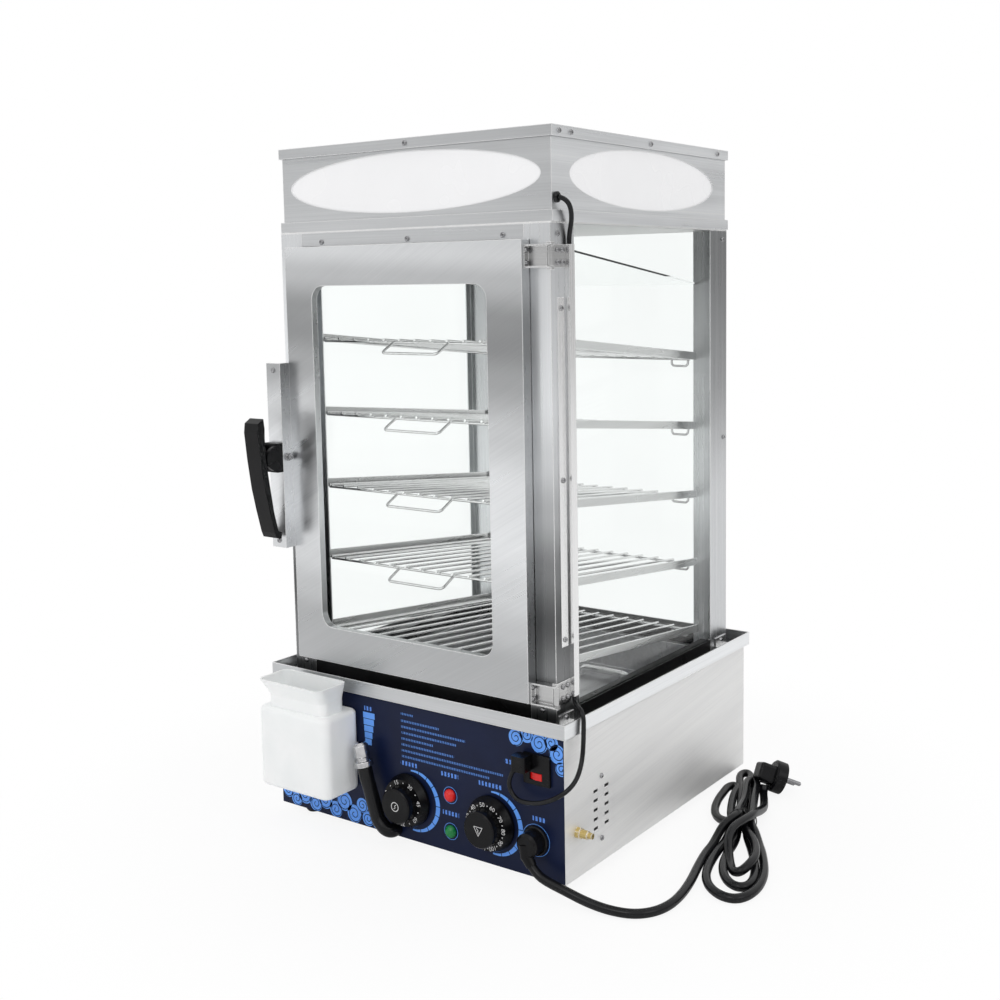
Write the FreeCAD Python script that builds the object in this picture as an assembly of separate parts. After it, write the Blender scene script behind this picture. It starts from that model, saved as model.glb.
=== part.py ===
import FreeCAD, Part
import math
import os

# Heated food display: a glazed steam cabinet on a square control base, with a hinged glass door,
# five sloping wire racks and a lit canopy. Millimetres, +Z up, the front (door side) faces -Y.
# The origin is on the floor under the centre of the square base.

Vector = FreeCAD.Vector

# Base box and feet
base_side = 380.0
base_height = 145.5
base_sheet = 1.2
foot_height = 9.0
foot_radius = 9.0
foot_inset_x = 30.0
foot_inset_y = 18.0
panel_film = 0.5


def from_corner(x, y, z):
    """A point given from the base's front right corner on the floor."""
    return (base_side / 2 + x, y - base_side / 2, z)


# Gutter lip, black sill and water basin
lip_overhang = 4.8
lip_height = 14.7
lip_sheet = 1.2
lip_opening_inset = 44.0
sill_plate = 2.5
sill_gap = 0.3
front_sill_height = 17.8
side_sill_height = 11.8
front_sill_depth = 12.5
side_sill_depth = 14.0
basin_depth = 42.0
basin_sheet = 1.0
basin_gap = 0.4
basin_flange = 6.4
heater_radius = 4.0
heater_height = 9.0
heater_half_width = 95.0
heater_front = -90.0
heater_back = 100.0
heater_tail_spread = 18.0
heater_bend = 22.0

# Cabinet frame: posts, beam, ceiling and glass
post_side_inset = 16.0
post_front_inset = 12.5
post_rear_inset = 14.5
post_flange = 30.0
post_side = 39.0
post_sheet = 1.2
post_lip_offset = 29.3
post_lip_reach = 28.0
cabinet_height = 480.9
ceiling_sheet = 1.2
beam_height = 13.8
beam_ledge = 16.0
glass_thickness = 4.0
glass_gap = 0.3
rear_glass_inset = 2.5

# Rack rails, wire racks and drip baffle
rack_count = 5
rack_headroom = 84.4
lowest_rail_rise = 33.8
rack_slope = 5.9
rail_inset = 24.0
rail_height = 8.5
rail_ledge = 17.0
rail_sheet = 1.2
wire_radius = 1.4
wire_edge_gap = 13.5
wire_count = 14
wire_front_gap = 21.5
wire_rear_gap = 22.9
weld_depth = 0.5
cross_front_gap = 5.0
cross_rear_gap = 4.7
cross_overhang = 3.5
rack_handle_width = 73.0
rack_handle_drop = 12.0
rack_handle_reach = 18.5
rack_handle_x = -6.0
rack_handle_bend = 5.0
stop_drop = 10.0
stop_bend = 4.0
baffle_drop = 39.1
baffle_slope = 7.8
baffle_thickness = 2.0

# Door, window and hinges
door_left_gap = 17.5
door_right_gap = 23.6
door_bottom_rise = 25.8
door_top_gap = 14.6
door_stand_off = 13.0
door_depth = 12.2
door_sheet = 1.2
window_left_margin = 37.0
window_right_margin = 41.8
window_bottom_margin = 38.2
window_top_margin = 40.4
window_corner = 15.0
window_return = 7.9
door_glass_lap = 14.0
door_glass_thickness = 3.2
hinge_axis_out = 2.2
hinge_axis_forward = 3.5
hinge_pin_radius = 1.5
hinge_bore_gap = 0.06
hinge_knuckle_radius = 3.0
hinge_sheet = 1.2
hinge_height = 21.6
top_hinge_drop = 26.6
bottom_hinge_drop = 1.3
hinge_flange = 1.5
hinge_flange_forward = 6.5
hinge_flange_end = 2.6
hinge_boss_half = 2.7
hinge_boss_height = 2.0
hinge_running_gap = 0.3
hinge_leaf_length = 22.1

# Door handle
handle_drop = 98.0
handle_rise = 100.0
handle_flange_width = 20.2
handle_flange_forward = 13.2
handle_sheet = 1.2
handle_web_setback = 9.5
block_drop = 0.75
block_height = 31.0
block_forward = 21.0
block_pin_radius = 2.5
block_ear = 3.6
lever_pivot_forward = 22.5
lever_pivot_gap = 0.05
lever_side_gap = 0.4
lever_boss_radius = 7.5
lever_width = 20.0

# Canopy
canopy_lip_overhang = 1.6
canopy_lip_height = 10.9
canopy_sheet = 1.2
canopy_wall_setback = 2.6
canopy_wall = 1.0
canopy_height = 87.6
canopy_lid_skirt = 10.4
canopy_ledge = 25.6
oval_front_margin = 12.0
oval_side_margin = 30.0
oval_low_margin = 15.5
oval_high_margin = 13.1
diffuser_margin = 4.0
diffuser_thickness = 2.0
diffuser_gap = 0.0
lamp_radius = 8.0
lamp_holder_seat = 5.0
lamp_drop = 0.8
lamp_holder_width = 8.0
lamp_holder_depth = 22.0
lamp_holder_rise = 12.0
canopy_slot_count = 9
canopy_slot_pitch = 18.0
canopy_slot_width = 3.0
canopy_slot_height = 30.0

# Controls on the front panel
timer_spacing = 54.7
thermostat_spacing = 53.0
dial_z = 52.2
dial_shaft_radius = 3.0
dial_shaft_gap = 0.05
dial_hole_gap = 0.6
dial_body_half = 22.0
dial_body_depth = 34.0
dial_body_bore = 14.0
knob_skirt_radius = 28.0
knob_shoulder_radius = 24.5
knob_skirt_depth = 10.5
knob_cap_radius = 19.0
knob_cap_depth = 11.5
knob_panel_gap = 1.0
knob_bore_depth = 24.0
lamp_spacing = 52.5
red_lamp_z = 68.9
green_lamp_z = 30.9
lamp_lens_radius = 6.5
lamp_barrel_radius = 5.0
lamp_barrel_depth = 18.0
lamp_lens_height = 5.5

# Light switch and its plug
switch_left_inset = 45.0
switch_right_inset = 14.5
switch_bottom_z = 104.0
switch_top_z = 134.0
switch_bezel = 3.0
switch_body_inset = 2.0
switch_body_depth = 24.0
rocker_inset = 30.5
rocker_z = 112.2
rocker_height = 6.6
rocker_radius = 7.0
rocker_crown = 1.4
rocker_gap = 0.35
rocker_tilt = 8.0
rocker_axis_setback = 0.6
lamp_plug_left_inset = 51.0
lamp_plug_right_inset = 35.0
lamp_plug_bottom_z = 118.0
lamp_plug_top_z = 133.4
lamp_plug_depth = 13.5

# Light lead, from its plug round the corner of the base, over the lip and up the side duct
lead_radius = 2.3
lead_boot_start = from_corner(-42.0, -11.5, 126.5)
lead_start = from_corner(-50.5, -13.0, 116.9)
lead_boot_radius = 4.6
lead_low_route = [
    lead_start,
    from_corner(-56.1, -13.0, 107.1),
    from_corner(-54.2, -13.0, 96.0),
    from_corner(-45.5, -13.2, 88.7),
    from_corner(-33.0, -13.6, 88.9),
    from_corner(-20.0, -14.0, 91.5),
    from_corner(-8.0, -14.3, 96.5),
    from_corner(2.5, -13.3, 102.5),
    from_corner(10.0, -7.8, 109.0),
    from_corner(12.0, 2.0, 115.2),
    from_corner(10.6, 12.0, 123.5),
    from_corner(9.2, 18.4, 134.5),
    from_corner(8.4, 21.2, 147.5),
    from_corner(8.3, 22.0, 160.0),
    from_corner(7.8, 22.8, 170.0),
    from_corner(3.0, 25.4, 176.2),
    from_corner(-4.4, 31.4, 176.6),
    from_corner(-13.0, 38.6, 178.2),
]
duct_lead_out = 2.6
duct_lead_back = 26.5
duct_lead_low = 6.0
duct_lead_high = 0.5
grommet_back = 11.9
grommet_rise = 23.4
grommet_radius = 5.2
grommet_stand = 3.0
duct_back = 22.3
duct_width = 8.6
duct_depth = 6.0
duct_wall = 0.8
duct_bottom_rise = 28.3
duct_top_drop = 19.6

# Strips, brackets and screws on the posts
strip_back = 9.0
strip_width = 10.8
strip_sheet = 1.2
strip_bottom_rise = 79.3
strip_top_drop = 68.6
bracket_sheet = 1.2
bracket_width = 25.0
bracket_height = 11.0
bracket_foot = 10.0
bracket_front_back = 2.5
bracket_rear_gap = 27.5
screw_radius = 2.7
screw_height = 1.9
rivet_radius = 2.4

# Power inlet, cord, hank and plug
inlet_inset = 33.3
inlet_z = 47.0
inlet_flange_radius = 14.5
inlet_flange_depth = 3.5
inlet_body_radius = 12.0
inlet_body_depth = 14.5
inlet_boot_radius = 6.6
cord_radius = 4.5
cord_start = from_corner(-28.5, -15.0, 27.5)
inlet_boot_route = [
    from_corner(-36.5, -13.0, 47.0),
    from_corner(-35.0, -14.0, 36.0),
    cord_start,
]
cord_route = [
    cord_start,
    from_corner(-21.5, -15.8, 21.0),
    from_corner(-9.5, -16.2, 17.2),
    from_corner(9.0, -15.8, 13.6),
    from_corner(32.0, -13.6, 7.6),
    from_corner(56.0, -11.2, 4.9),
    from_corner(78.0, -5.5, 4.7),
    from_corner(91.5, 8.5, 4.7),
    from_corner(97.5, 28.0, 4.7),
    from_corner(96.5, 53.0, 4.7),
    from_corner(90.0, 84.0, 4.7),
    from_corner(81.0, 114.0, 4.7),
    from_corner(73.0, 146.0, 4.8),
    from_corner(67.0, 178.0, 5.2),
    from_corner(63.8, 205.0, 6.8),
    from_corner(66.4, 227.0, 9.6),
]
hank_centre = from_corner(72.0, 232.0, 0.0)
hank_heading = 114.2
hank_floor_z = 0.3
upper_lobe_top_z = 18.3
lower_lobe_top_z = 26.0
waist_low_z = 1.2
waist_high_z = 25.6
waist_half_width = 13.5
waist_half_length = 13.0
hank_upper_outline = [
    (10.0, -16.0), (14.0, -36.0), (52.0, -35.0), (86.0, -27.0), (106.0, -17.0),
    (140.0, -6.0), (141.0, 3.0), (108.0, 8.0), (84.0, 13.5), (10.0, 13.0),
]
hank_lower_outline = [
    (-10.0, -12.0), (-123.0, -36.5), (-156.0, -30.0), (-180.0, -11.0), (-180.0, 5.5),
    (-154.0, 22.0), (-113.0, 30.0), (-63.0, 25.0), (-10.0, 13.0),
]
hank_corner = 4.0
tie_width = 4.0
tie_thickness = 0.8
plug_face = from_corner(67.4, 342.4, 16.9)
plug_heading = 37.0
plug_tilt = 22.0
plug_roll = 21.0
plug_radius = 18.0
plug_face_depth = 13.0
plug_grip_width = 24.0
plug_grip_height = 20.0
plug_grip_length = 18.0
plug_pin_radius = 2.4
plug_pin_spacing = 19.0
plug_pin_length = 19.0
plug_boot_setback = 19.0
plug_boot_length = 12.0
plug_lead_step = 6.0
plug_lead_route = [
    from_corner(78.5, 235.0, 12.5),
    from_corner(81.0, 250.0, 10.0),
    from_corner(77.8, 269.0, 6.2),
    from_corner(70.4, 287.5, 4.9),
    from_corner(63.2, 303.5, 4.8),
]

# Drain hose and cap
hose_radius = 7.5
hose_route = [
    from_corner(-211.5, -0.5, 17.4),
    from_corner(-211.5, -14.6, 17.4),
    from_corner(-224.5, -14.9, 29.0),
    from_corner(-232.0, -15.2, 52.0),
    from_corner(-238.5, -15.8, 73.0),
]
hose_top = from_corner(-240.6, -16.2, 84.0)
hose_bends = [9.0, 13.0, 40.0, 70.0]
cap_stem_radius = 4.0
cap_stem_gap = 0.05
cap_stem_length = 13.0
cap_flange_radius = 9.8
cap_knob_radius = 8.0
cap_height = 25.0

# Water cup on the panel
cup_left_inset = 20.0
cup_right_gap = 66.5
cup_depth = 52.0
cup_bottom_z = 51.0
cup_shoulder_z = 138.0
cup_corner = 10.0
cup_edge = 5.0
cup_wall = 2.0
neck_inset_x = 9.0
neck_front_gap = 7.0
neck_depth = 34.0
neck_top_z = 151.0
mouth_left_inset = 7.5
mouth_right_inset = 1.5
mouth_forward = 58.0
mouth_depth = 44.0
mouth_top_z = 170.0
mouth_corner = 9.0

# Side valve, vents and rivets on the right wall
valve_corner_gap = 21.0
valve_z = 55.0
valve_hex_radius = 6.0
valve_hex_length = 5.0
valve_barrel_radius = 4.2
valve_barrel_length = 8.0
valve_tip_radius = 3.0
valve_length = 18.0
vent_rows = 5
vent_pitch = 9.6
vent_top_z = 84.9
vent_columns_y = (-135.0, -115.0)
vent_length = 8.0
vent_width = 3.2
rivet_y = -125.0
rivet_heights = (97.5, 33.4)

# Levels and planes that follow from the sizes above
base_half_x = base_side / 2
base_half_y = base_side / 2
base_bottom_z = foot_height
base_top_z = base_bottom_z + base_height
film_y = -base_half_y - panel_film
wall_inner_y = -base_half_y + base_sheet
lip_half_x = base_half_x + lip_overhang
lip_half_y = base_half_y + lip_overhang
lip_opening_half = base_half_x - lip_opening_inset
gutter_z = base_top_z + lip_sheet
sill_z = gutter_z + sill_plate
front_sill_z = sill_z + front_sill_height
side_sill_z = sill_z + side_sill_height
basin_half = lip_opening_half - basin_gap
basin_floor_z = gutter_z - basin_depth
ceiling_z = gutter_z + cabinet_height
post_outer_x = base_half_x - post_side_inset
post_front_y = -base_half_y + post_front_inset
post_rear_y = base_half_y - post_rear_inset
post_inner_x = post_outer_x - post_sheet
post_front_lip_y = post_front_y + post_lip_offset + post_sheet
post_rear_lip_y = post_rear_y - post_lip_offset - post_sheet
rear_glass_half = post_outer_x - rear_glass_inset
rack_pitch = (cabinet_height - rack_headroom) / rack_count
lowest_rail_z = gutter_z + lowest_rail_rise
rail_outer_x = post_outer_x - rail_inset
wire_pitch = 2 * (rail_outer_x - wire_edge_gap) / (wire_count - 1)
wire_front_y = post_front_y + wire_front_gap
wire_rear_y = post_rear_y - wire_rear_gap
cross_front_y = wire_front_y + cross_front_gap
cross_rear_y = wire_rear_y - cross_rear_gap
baffle_z = ceiling_z - baffle_drop
door_left_x = -post_outer_x + door_left_gap
door_right_x = post_outer_x - door_right_gap
door_bottom_z = gutter_z + door_bottom_rise
door_top_z = ceiling_z - door_top_gap
door_front_y = post_front_y - door_stand_off
door_back_y = door_front_y + door_depth
window_left_x = door_left_x + window_left_margin
window_right_x = door_right_x - window_right_margin
window_bottom_z = door_bottom_z + window_bottom_margin
window_top_z = door_top_z - window_top_margin
hinge_axis_x = post_outer_x + hinge_axis_out
hinge_axis_y = post_front_y - hinge_axis_forward
hinge_flange_front_y = hinge_axis_y - hinge_flange_forward
hinge_leaf_rear_y = post_front_y + hinge_leaf_length
top_hinge_z = door_top_z - top_hinge_drop
bottom_hinge_z = door_bottom_z - bottom_hinge_drop
block_z = (door_bottom_z + door_top_z) / 2 - block_drop
handle_bottom_z = block_z - handle_drop
handle_top_z = block_z + handle_rise
handle_flange_y = door_front_y - handle_flange_forward
handle_web_rear_y = door_front_y + handle_web_setback
block_front_y = door_front_y - block_forward
lever_pivot_y = door_front_y - lever_pivot_forward
lever_z = block_z
lever_gap_y = lever_pivot_y - block_height / 2 + 1.9
canopy_lip_half = post_outer_x + canopy_lip_overhang
canopy_wall_half = canopy_lip_half - canopy_wall_setback
canopy_opening_half = canopy_lip_half - canopy_ledge
canopy_base_z = ceiling_z + ceiling_sheet
canopy_wall_z = canopy_base_z + canopy_sheet
canopy_top_z = canopy_base_z + canopy_height
canopy_wall_top_z = canopy_top_z - canopy_sheet
oval_front_half = canopy_wall_half - oval_front_margin
oval_side_half = canopy_wall_half - oval_side_margin
oval_half_height = (canopy_height - oval_low_margin - oval_high_margin) / 2
oval_z = canopy_base_z + oval_low_margin + oval_half_height
lamp_half_length = canopy_opening_half - lamp_holder_seat
lamp_z = oval_z - lamp_drop
inlet_x = base_half_x - inlet_inset
thermostat_x = inlet_x - thermostat_spacing
lamp_x = thermostat_x - lamp_spacing
timer_x = lamp_x - timer_spacing
switch_left_x = base_half_x - switch_left_inset
switch_right_x = base_half_x - switch_right_inset
rocker_x = base_half_x - rocker_inset
lamp_plug_left_x = base_half_x - lamp_plug_left_inset
lamp_plug_right_x = base_half_x - lamp_plug_right_inset
duct_lead_x = post_outer_x + duct_lead_out
duct_lead_y = post_front_y + duct_lead_back
duct_front_y = post_front_y + duct_back
duct_bottom_z = gutter_z + duct_bottom_rise
duct_top_z = ceiling_z - duct_top_drop
duct_lead_low_z = duct_bottom_z + duct_lead_low
duct_lead_high_z = duct_top_z + duct_lead_high
grommet_y = post_front_y + grommet_back
grommet_z = ceiling_z + grommet_rise
lead_high_route = [
    (post_outer_x + 3.6, duct_lead_y - 0.1, grommet_z - 32.5),
    (post_outer_x + 6.8, duct_lead_y - 0.6, grommet_z - 20.0),
    (post_outer_x + 8.6, duct_lead_y - 5.2, grommet_z - 8.5),
    (post_outer_x + 7.2, duct_lead_y - 12.2, grommet_z - 1.6),
]
strip_front_y = post_front_y + strip_back
strip_bottom_z = gutter_z + strip_bottom_rise
strip_top_z = ceiling_z - strip_top_drop
bracket_front_y = post_front_y + bracket_front_back
bracket_rear_y = post_rear_y - bracket_rear_gap
cup_left_x = -base_half_x + cup_left_inset
cup_right_x = timer_x - cup_right_gap
mouth_left_x = cup_left_x + mouth_left_inset
mouth_right_x = cup_right_x - mouth_right_inset
mouth_front_y = film_y - mouth_forward
valve_y = -base_half_y + valve_corner_gap
rack_tangent = math.tan(math.radians(rack_slope))
rack_cosine = math.cos(math.radians(rack_slope))
rack_wire_rise = rail_sheet + wire_radius / rack_cosine


def vector(point):
    return Vector(point[0], point[1], point[2])


def box(x0, x1, y0, y1, z0, z1):
    return Part.makeBox(x1 - x0, y1 - y0, z1 - z0, Vector(x0, y0, z0))


def square_block(half_x, half_y, z0, z1):
    return box(-half_x, half_x, -half_y, half_y, z0, z1)


def cylinder(radius, start, direction, length):
    return Part.makeCylinder(radius, length, start, direction)


def fused(shapes):
    return shapes[0].multiFuse(shapes[1:]).removeSplitter()


def group(shapes):
    return Part.makeCompound(shapes)


def mirrored_x(shape):
    return shape.mirror(Vector(0, 0, 0), Vector(1, 0, 0))


def prism(points, direction):
    outline = [vector(point) for point in points]
    return Part.Face(Part.makePolygon(outline + outline[:1])).extrude(direction)


def turned(profile, origin, direction):
    """A solid of revolution from (radius, height) points, with its axis along direction."""
    outline = [Vector(radius, 0, height) for radius, height in profile]
    solid = Part.Face(Part.makePolygon(outline + outline[:1])).revolve(
        Vector(0, 0, 0), Vector(0, 0, 1), 360)
    solid.Placement = FreeCAD.Placement(origin, FreeCAD.Rotation(Vector(0, 0, 1), direction))
    return solid


def rounded_rectangle(centre, half_a, half_b, radius, axis_a, axis_b):
    """A closed wire of four lines and four corner arcs in the plane of axis_a and axis_b."""
    def at(a, b):
        return centre + axis_a * a + axis_b * b
    middle = radius * (1 - math.sqrt(0.5))
    edges = []
    for turn_a, turn_b in ((1, 1), (-1, 1), (-1, -1), (1, -1)):
        if turn_a == turn_b:
            first = at(turn_a * half_a, turn_b * (half_b - radius))
            last = at(turn_a * (half_a - radius), turn_b * half_b)
        else:
            first = at(turn_a * (half_a - radius), turn_b * half_b)
            last = at(turn_a * half_a, turn_b * (half_b - radius))
        corner = at(turn_a * (half_a - middle), turn_b * (half_b - middle))
        if edges:
            edges.append(Part.makeLine(edges[-1].Vertexes[-1].Point, first))
        edges.append(Part.Arc(first, corner, last).toShape())
    edges.append(Part.makeLine(edges[-1].Vertexes[-1].Point, edges[0].Vertexes[0].Point))
    return Part.Wire(edges)


def rounded_prism(x0, x1, y0, y1, z0, z1, radius):
    """A block along Z with rounded vertical edges."""
    centre = Vector((x0 + x1) / 2, (y0 + y1) / 2, z0)
    outline = rounded_rectangle(centre, (x1 - x0) / 2, (y1 - y0) / 2, radius,
                                Vector(1, 0, 0), Vector(0, 1, 0))
    return Part.Face(outline).extrude(Vector(0, 0, z1 - z0))


def window_prism(margin, y0, y1):
    """The door window's outline, grown by margin, from y0 to y1."""
    centre = Vector((window_left_x + window_right_x) / 2, y0, (window_bottom_z + window_top_z) / 2)
    outline = rounded_rectangle(centre, (window_right_x - window_left_x) / 2 + margin,
                                (window_top_z - window_bottom_z) / 2 + margin,
                                window_corner + margin, Vector(1, 0, 0), Vector(0, 0, 1))
    return Part.Face(outline).extrude(Vector(0, y1 - y0, 0))


def oval_prism(half_width, centre, across, depth):
    """A canopy window: an ellipse standing upright, extruded along depth."""
    ellipse = Part.Ellipse(centre + across * half_width, centre + Vector(0, 0, oval_half_height), centre)
    return Part.Face(Part.Wire([ellipse.toShape()])).extrude(depth)


def turn_angle(before, corner, after):
    return (corner - before).getAngle(after - corner)


def cord_bends(route):
    """The largest even bend at each inner point: 0.45 of the shorter run over tan(half turn)."""
    points = [vector(point) for point in route]
    bends = []
    for before, corner, after in zip(points, points[1:], points[2:]):
        shorter = min((corner - before).Length, (after - corner).Length)
        bends.append(0.45 * shorter / math.tan(turn_angle(before, corner, after) / 2))
    return bends


def tangent_path(route, bends):
    """Straight runs joined by tangent arcs, as a list of edges."""
    points = [vector(point) for point in route]
    edges = []
    here = points[0]
    for before, corner, after, bend in zip(points, points[1:], points[2:], bends):
        half_turn = turn_angle(before, corner, after) / 2
        reach = bend * math.tan(half_turn)
        towards = (before - corner).normalize()
        away = (after - corner).normalize()
        inward = (towards + away).normalize()
        first = corner + towards * reach
        last = corner + away * reach
        middle = corner + inward * (bend / math.cos(half_turn) - bend)
        edges.append(Part.makeLine(here, first))
        edges.append(Part.Arc(first, middle, last).toShape())
        here = last
    edges.append(Part.makeLine(here, points[-1]))
    return edges


def round_tube(route, radius, bends):
    """A solid round rod, cord or hose along the route."""
    edges = tangent_path(route, bends)
    start = vector(route[0])
    heading = (vector(route[1]) - start).normalize()
    section = Part.Wire([Part.makeCircle(radius, start, heading)])
    return Part.Wire(edges).makePipeShell([section], True, False)


def path_length(route, bends):
    return sum(edge.Length for edge in tangent_path(route, bends))


def cord_tube(name, route, radius):
    """A cord's tube, with its bends, length and volume ratio printed."""
    bends = cord_bends(route)
    tube = round_tube(route, radius, bends)
    length = path_length(route, bends)
    ratio = tube.Volume / (math.pi * radius ** 2 * length)
    print(name, "length", round(length, 1), "volume ratio", round(ratio, 4),
          "bends", [round(bend, 1) for bend in bends])
    return tube


def cord_seat(route, radius):
    """The first millimetres of a cord, cut from the boot or grommet that it leaves."""
    start = vector(route[0])
    return cylinder(radius, start, vector(route[1]) - start, 3.0)


def screw_head(point, direction):
    """A pan head that seats on a face at point."""
    profile = [(0, 0), (screw_radius, 0), (screw_radius, screw_height * 0.45),
               (screw_radius * 0.7, screw_height * 0.9), (0, screw_height)]
    return turned(profile, vector(point), direction)


def dial_hole(x):
    hole_radius = dial_shaft_radius + dial_hole_gap
    return cylinder(hole_radius, Vector(x, film_y - 1, dial_z), Vector(0, 1, 0), base_sheet + 3)


def front_cuts():
    """Everything that passes through the front wall and its film."""
    cuts = [dial_hole(timer_x), dial_hole(thermostat_x)]
    for lamp_z_value in (red_lamp_z, green_lamp_z):
        cuts.append(cylinder(lamp_barrel_radius, Vector(lamp_x, film_y - 1, lamp_z_value),
                             Vector(0, 1, 0), base_sheet + 3))
    cuts.append(box(switch_left_x + switch_body_inset, switch_right_x - switch_body_inset,
                    film_y - 1, wall_inner_y + 1,
                    switch_bottom_z + switch_body_inset, switch_top_z - switch_body_inset))
    return cuts


def vent_slots():
    """Short slots through the right wall, in two columns."""
    slots = []
    for y in vent_columns_y:
        for row in range(vent_rows):
            slot = box(-2 * base_sheet, 2 * base_sheet, -vent_length / 2, vent_length / 2,
                       -vent_width / 2, vent_width / 2)
            slot.translate(Vector(base_half_x, y, vent_top_z - row * vent_pitch))
            slots.append(slot)
    return slots


def base_shell():
    """The folded base box, open at the top."""
    shell = square_block(base_half_x, base_half_y, base_bottom_z, base_top_z)
    inside = square_block(base_half_x - base_sheet, base_half_y - base_sheet,
                          base_bottom_z + base_sheet, base_top_z + 1)
    return shell.cut([inside] + front_cuts() + vent_slots())


def control_panel():
    film = box(-base_half_x, base_half_x, film_y, -base_half_y, base_bottom_z, base_top_z)
    return film.cut(front_cuts())


def feet():
    pads = []
    for side_x in (-1, 1):
        for side_y in (-1, 1):
            centre = Vector(side_x * (base_half_x - foot_inset_x),
                            side_y * (base_half_y - foot_inset_y), 0)
            pads.append(turned([(0, 0), (foot_radius - 1.5, 0), (foot_radius, 2.0),
                                (foot_radius, foot_height), (0, foot_height)],
                               centre, Vector(0, 0, 1)))
    return group(pads)


def gutter_lip():
    """The sheet tray round the top of the base, with its upright rim."""
    tray = square_block(lip_half_x, lip_half_y, base_top_z, base_top_z + lip_height)
    hollow = square_block(lip_half_x - lip_sheet, lip_half_y - lip_sheet,
                          gutter_z, base_top_z + lip_height + 1)
    opening = square_block(lip_opening_half, lip_opening_half, base_top_z - 1, gutter_z + 1)
    return tray.cut([hollow, opening])


def sill_frame():
    """The black gutter floor with four sills that carry the glass."""
    outer_x = lip_half_x - lip_sheet - sill_gap
    outer_y = lip_half_y - lip_sheet - sill_gap
    inner = basin_half + basin_flange + basin_gap
    floor = square_block(outer_x, outer_y, gutter_z, sill_z)
    floor = floor.cut(square_block(inner, inner, gutter_z - 1, sill_z + 1))
    across = post_outer_x - post_flange
    front_end = post_front_y + post_side
    rear_end = post_rear_y - post_side
    bars = [
        box(-across, across, post_front_y, post_front_y + front_sill_depth, sill_z, front_sill_z),
        box(-across, across, post_rear_y - side_sill_depth, post_rear_y, sill_z, side_sill_z),
        box(post_outer_x - side_sill_depth, post_outer_x, front_end, rear_end, sill_z, side_sill_z),
        box(-post_outer_x, side_sill_depth - post_outer_x, front_end, rear_end, sill_z, side_sill_z),
    ]
    return fused([floor] + bars)


def water_basin():
    """The shallow steam basin, hung by its flange in the gutter tray."""
    wall_half = basin_half
    pan = square_block(wall_half, wall_half, basin_floor_z, gutter_z)
    flange_half = wall_half + basin_flange
    flange = square_block(flange_half, flange_half, gutter_z, gutter_z + basin_sheet)
    inner = wall_half - basin_sheet
    hollow = square_block(inner, inner, basin_floor_z + basin_sheet, gutter_z + basin_sheet + 1)
    holes = [cylinder(heater_radius, Vector(side * heater_tail_spread, heater_back, basin_floor_z - 1),
                      Vector(0, 0, 1), basin_sheet + 2) for side in (-1, 1)]
    return fused([pan, flange]).cut([hollow] + holes)


def heating_element():
    """A bent tubular heater whose tails pass down through the basin floor."""
    coil_z = basin_floor_z + basin_sheet + heater_height
    tail_z = basin_floor_z - 14.0
    half = heater_half_width
    route = [
        (-heater_tail_spread, heater_back, tail_z),
        (-heater_tail_spread, heater_back, coil_z),
        (-half, heater_back, coil_z),
        (-half, heater_front, coil_z),
        (half, heater_front, coil_z),
        (half, heater_back, coil_z),
        (heater_tail_spread, heater_back, coil_z),
        (heater_tail_spread, heater_back, tail_z),
    ]
    tight = heater_height - 0.5
    return round_tube(route, heater_radius,
                      [tight, heater_bend, heater_bend, heater_bend, heater_bend, tight])


def post(side, front):
    """A folded corner post: a front or rear flange, a side flange and an inner lip."""
    corner_y = post_front_y if front else post_rear_y
    inward = 1 if front else -1

    def plate(x0, x1, from_corner_0, from_corner_1):
        y0 = corner_y + inward * from_corner_0
        y1 = corner_y + inward * from_corner_1
        return box(min(x0, x1), max(x0, x1), min(y0, y1), max(y0, y1), sill_z, ceiling_z)

    outer = side * post_outer_x
    inner = side * post_inner_x
    flange = plate(side * (post_outer_x - post_flange), outer, 0, post_sheet)
    side_plate = plate(inner, outer, 0, post_side)
    lip = plate(side * (post_outer_x - post_lip_reach), outer,
                post_lip_offset, post_lip_offset + post_sheet)
    return fused([flange, side_plate, lip])


def front_beam():
    """The angle beam between the front posts, under the ceiling."""
    across = post_outer_x - post_flange
    face = box(-across, across, post_front_y, post_front_y + post_sheet,
               ceiling_z - beam_height, ceiling_z)
    ledge = box(-across, across, post_front_y, post_front_y + beam_ledge,
                ceiling_z - beam_height, ceiling_z - beam_height + post_sheet)
    return fused([face, ledge])


def ceiling_plate():
    return box(-post_outer_x, post_outer_x, post_front_y, post_rear_y, ceiling_z, canopy_base_z)


def side_glass(side):
    outer = post_inner_x - glass_gap
    pane = box(outer - glass_thickness, outer, post_front_lip_y + glass_gap,
               post_rear_lip_y - glass_gap, side_sill_z, ceiling_z)
    return pane if side > 0 else mirrored_x(pane)


def rear_glass():
    back = post_rear_y - post_sheet - glass_gap
    return box(-rear_glass_half, rear_glass_half, back - glass_thickness, back, side_sill_z, ceiling_z)


def sloped_bar(x0, x1, y0, y1, level, low, high, tangent):
    """A bar that falls towards the rear, with upright ends; low and high are from its datum."""
    points = [
        (x0, y0, level - y0 * tangent + low),
        (x0, y1, level - y1 * tangent + low),
        (x0, y1, level - y1 * tangent + high),
        (x0, y0, level - y0 * tangent + high),
    ]
    return prism(points, Vector(x1 - x0, 0, 0))


def rail_level(index):
    return lowest_rail_z + index * rack_pitch


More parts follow.
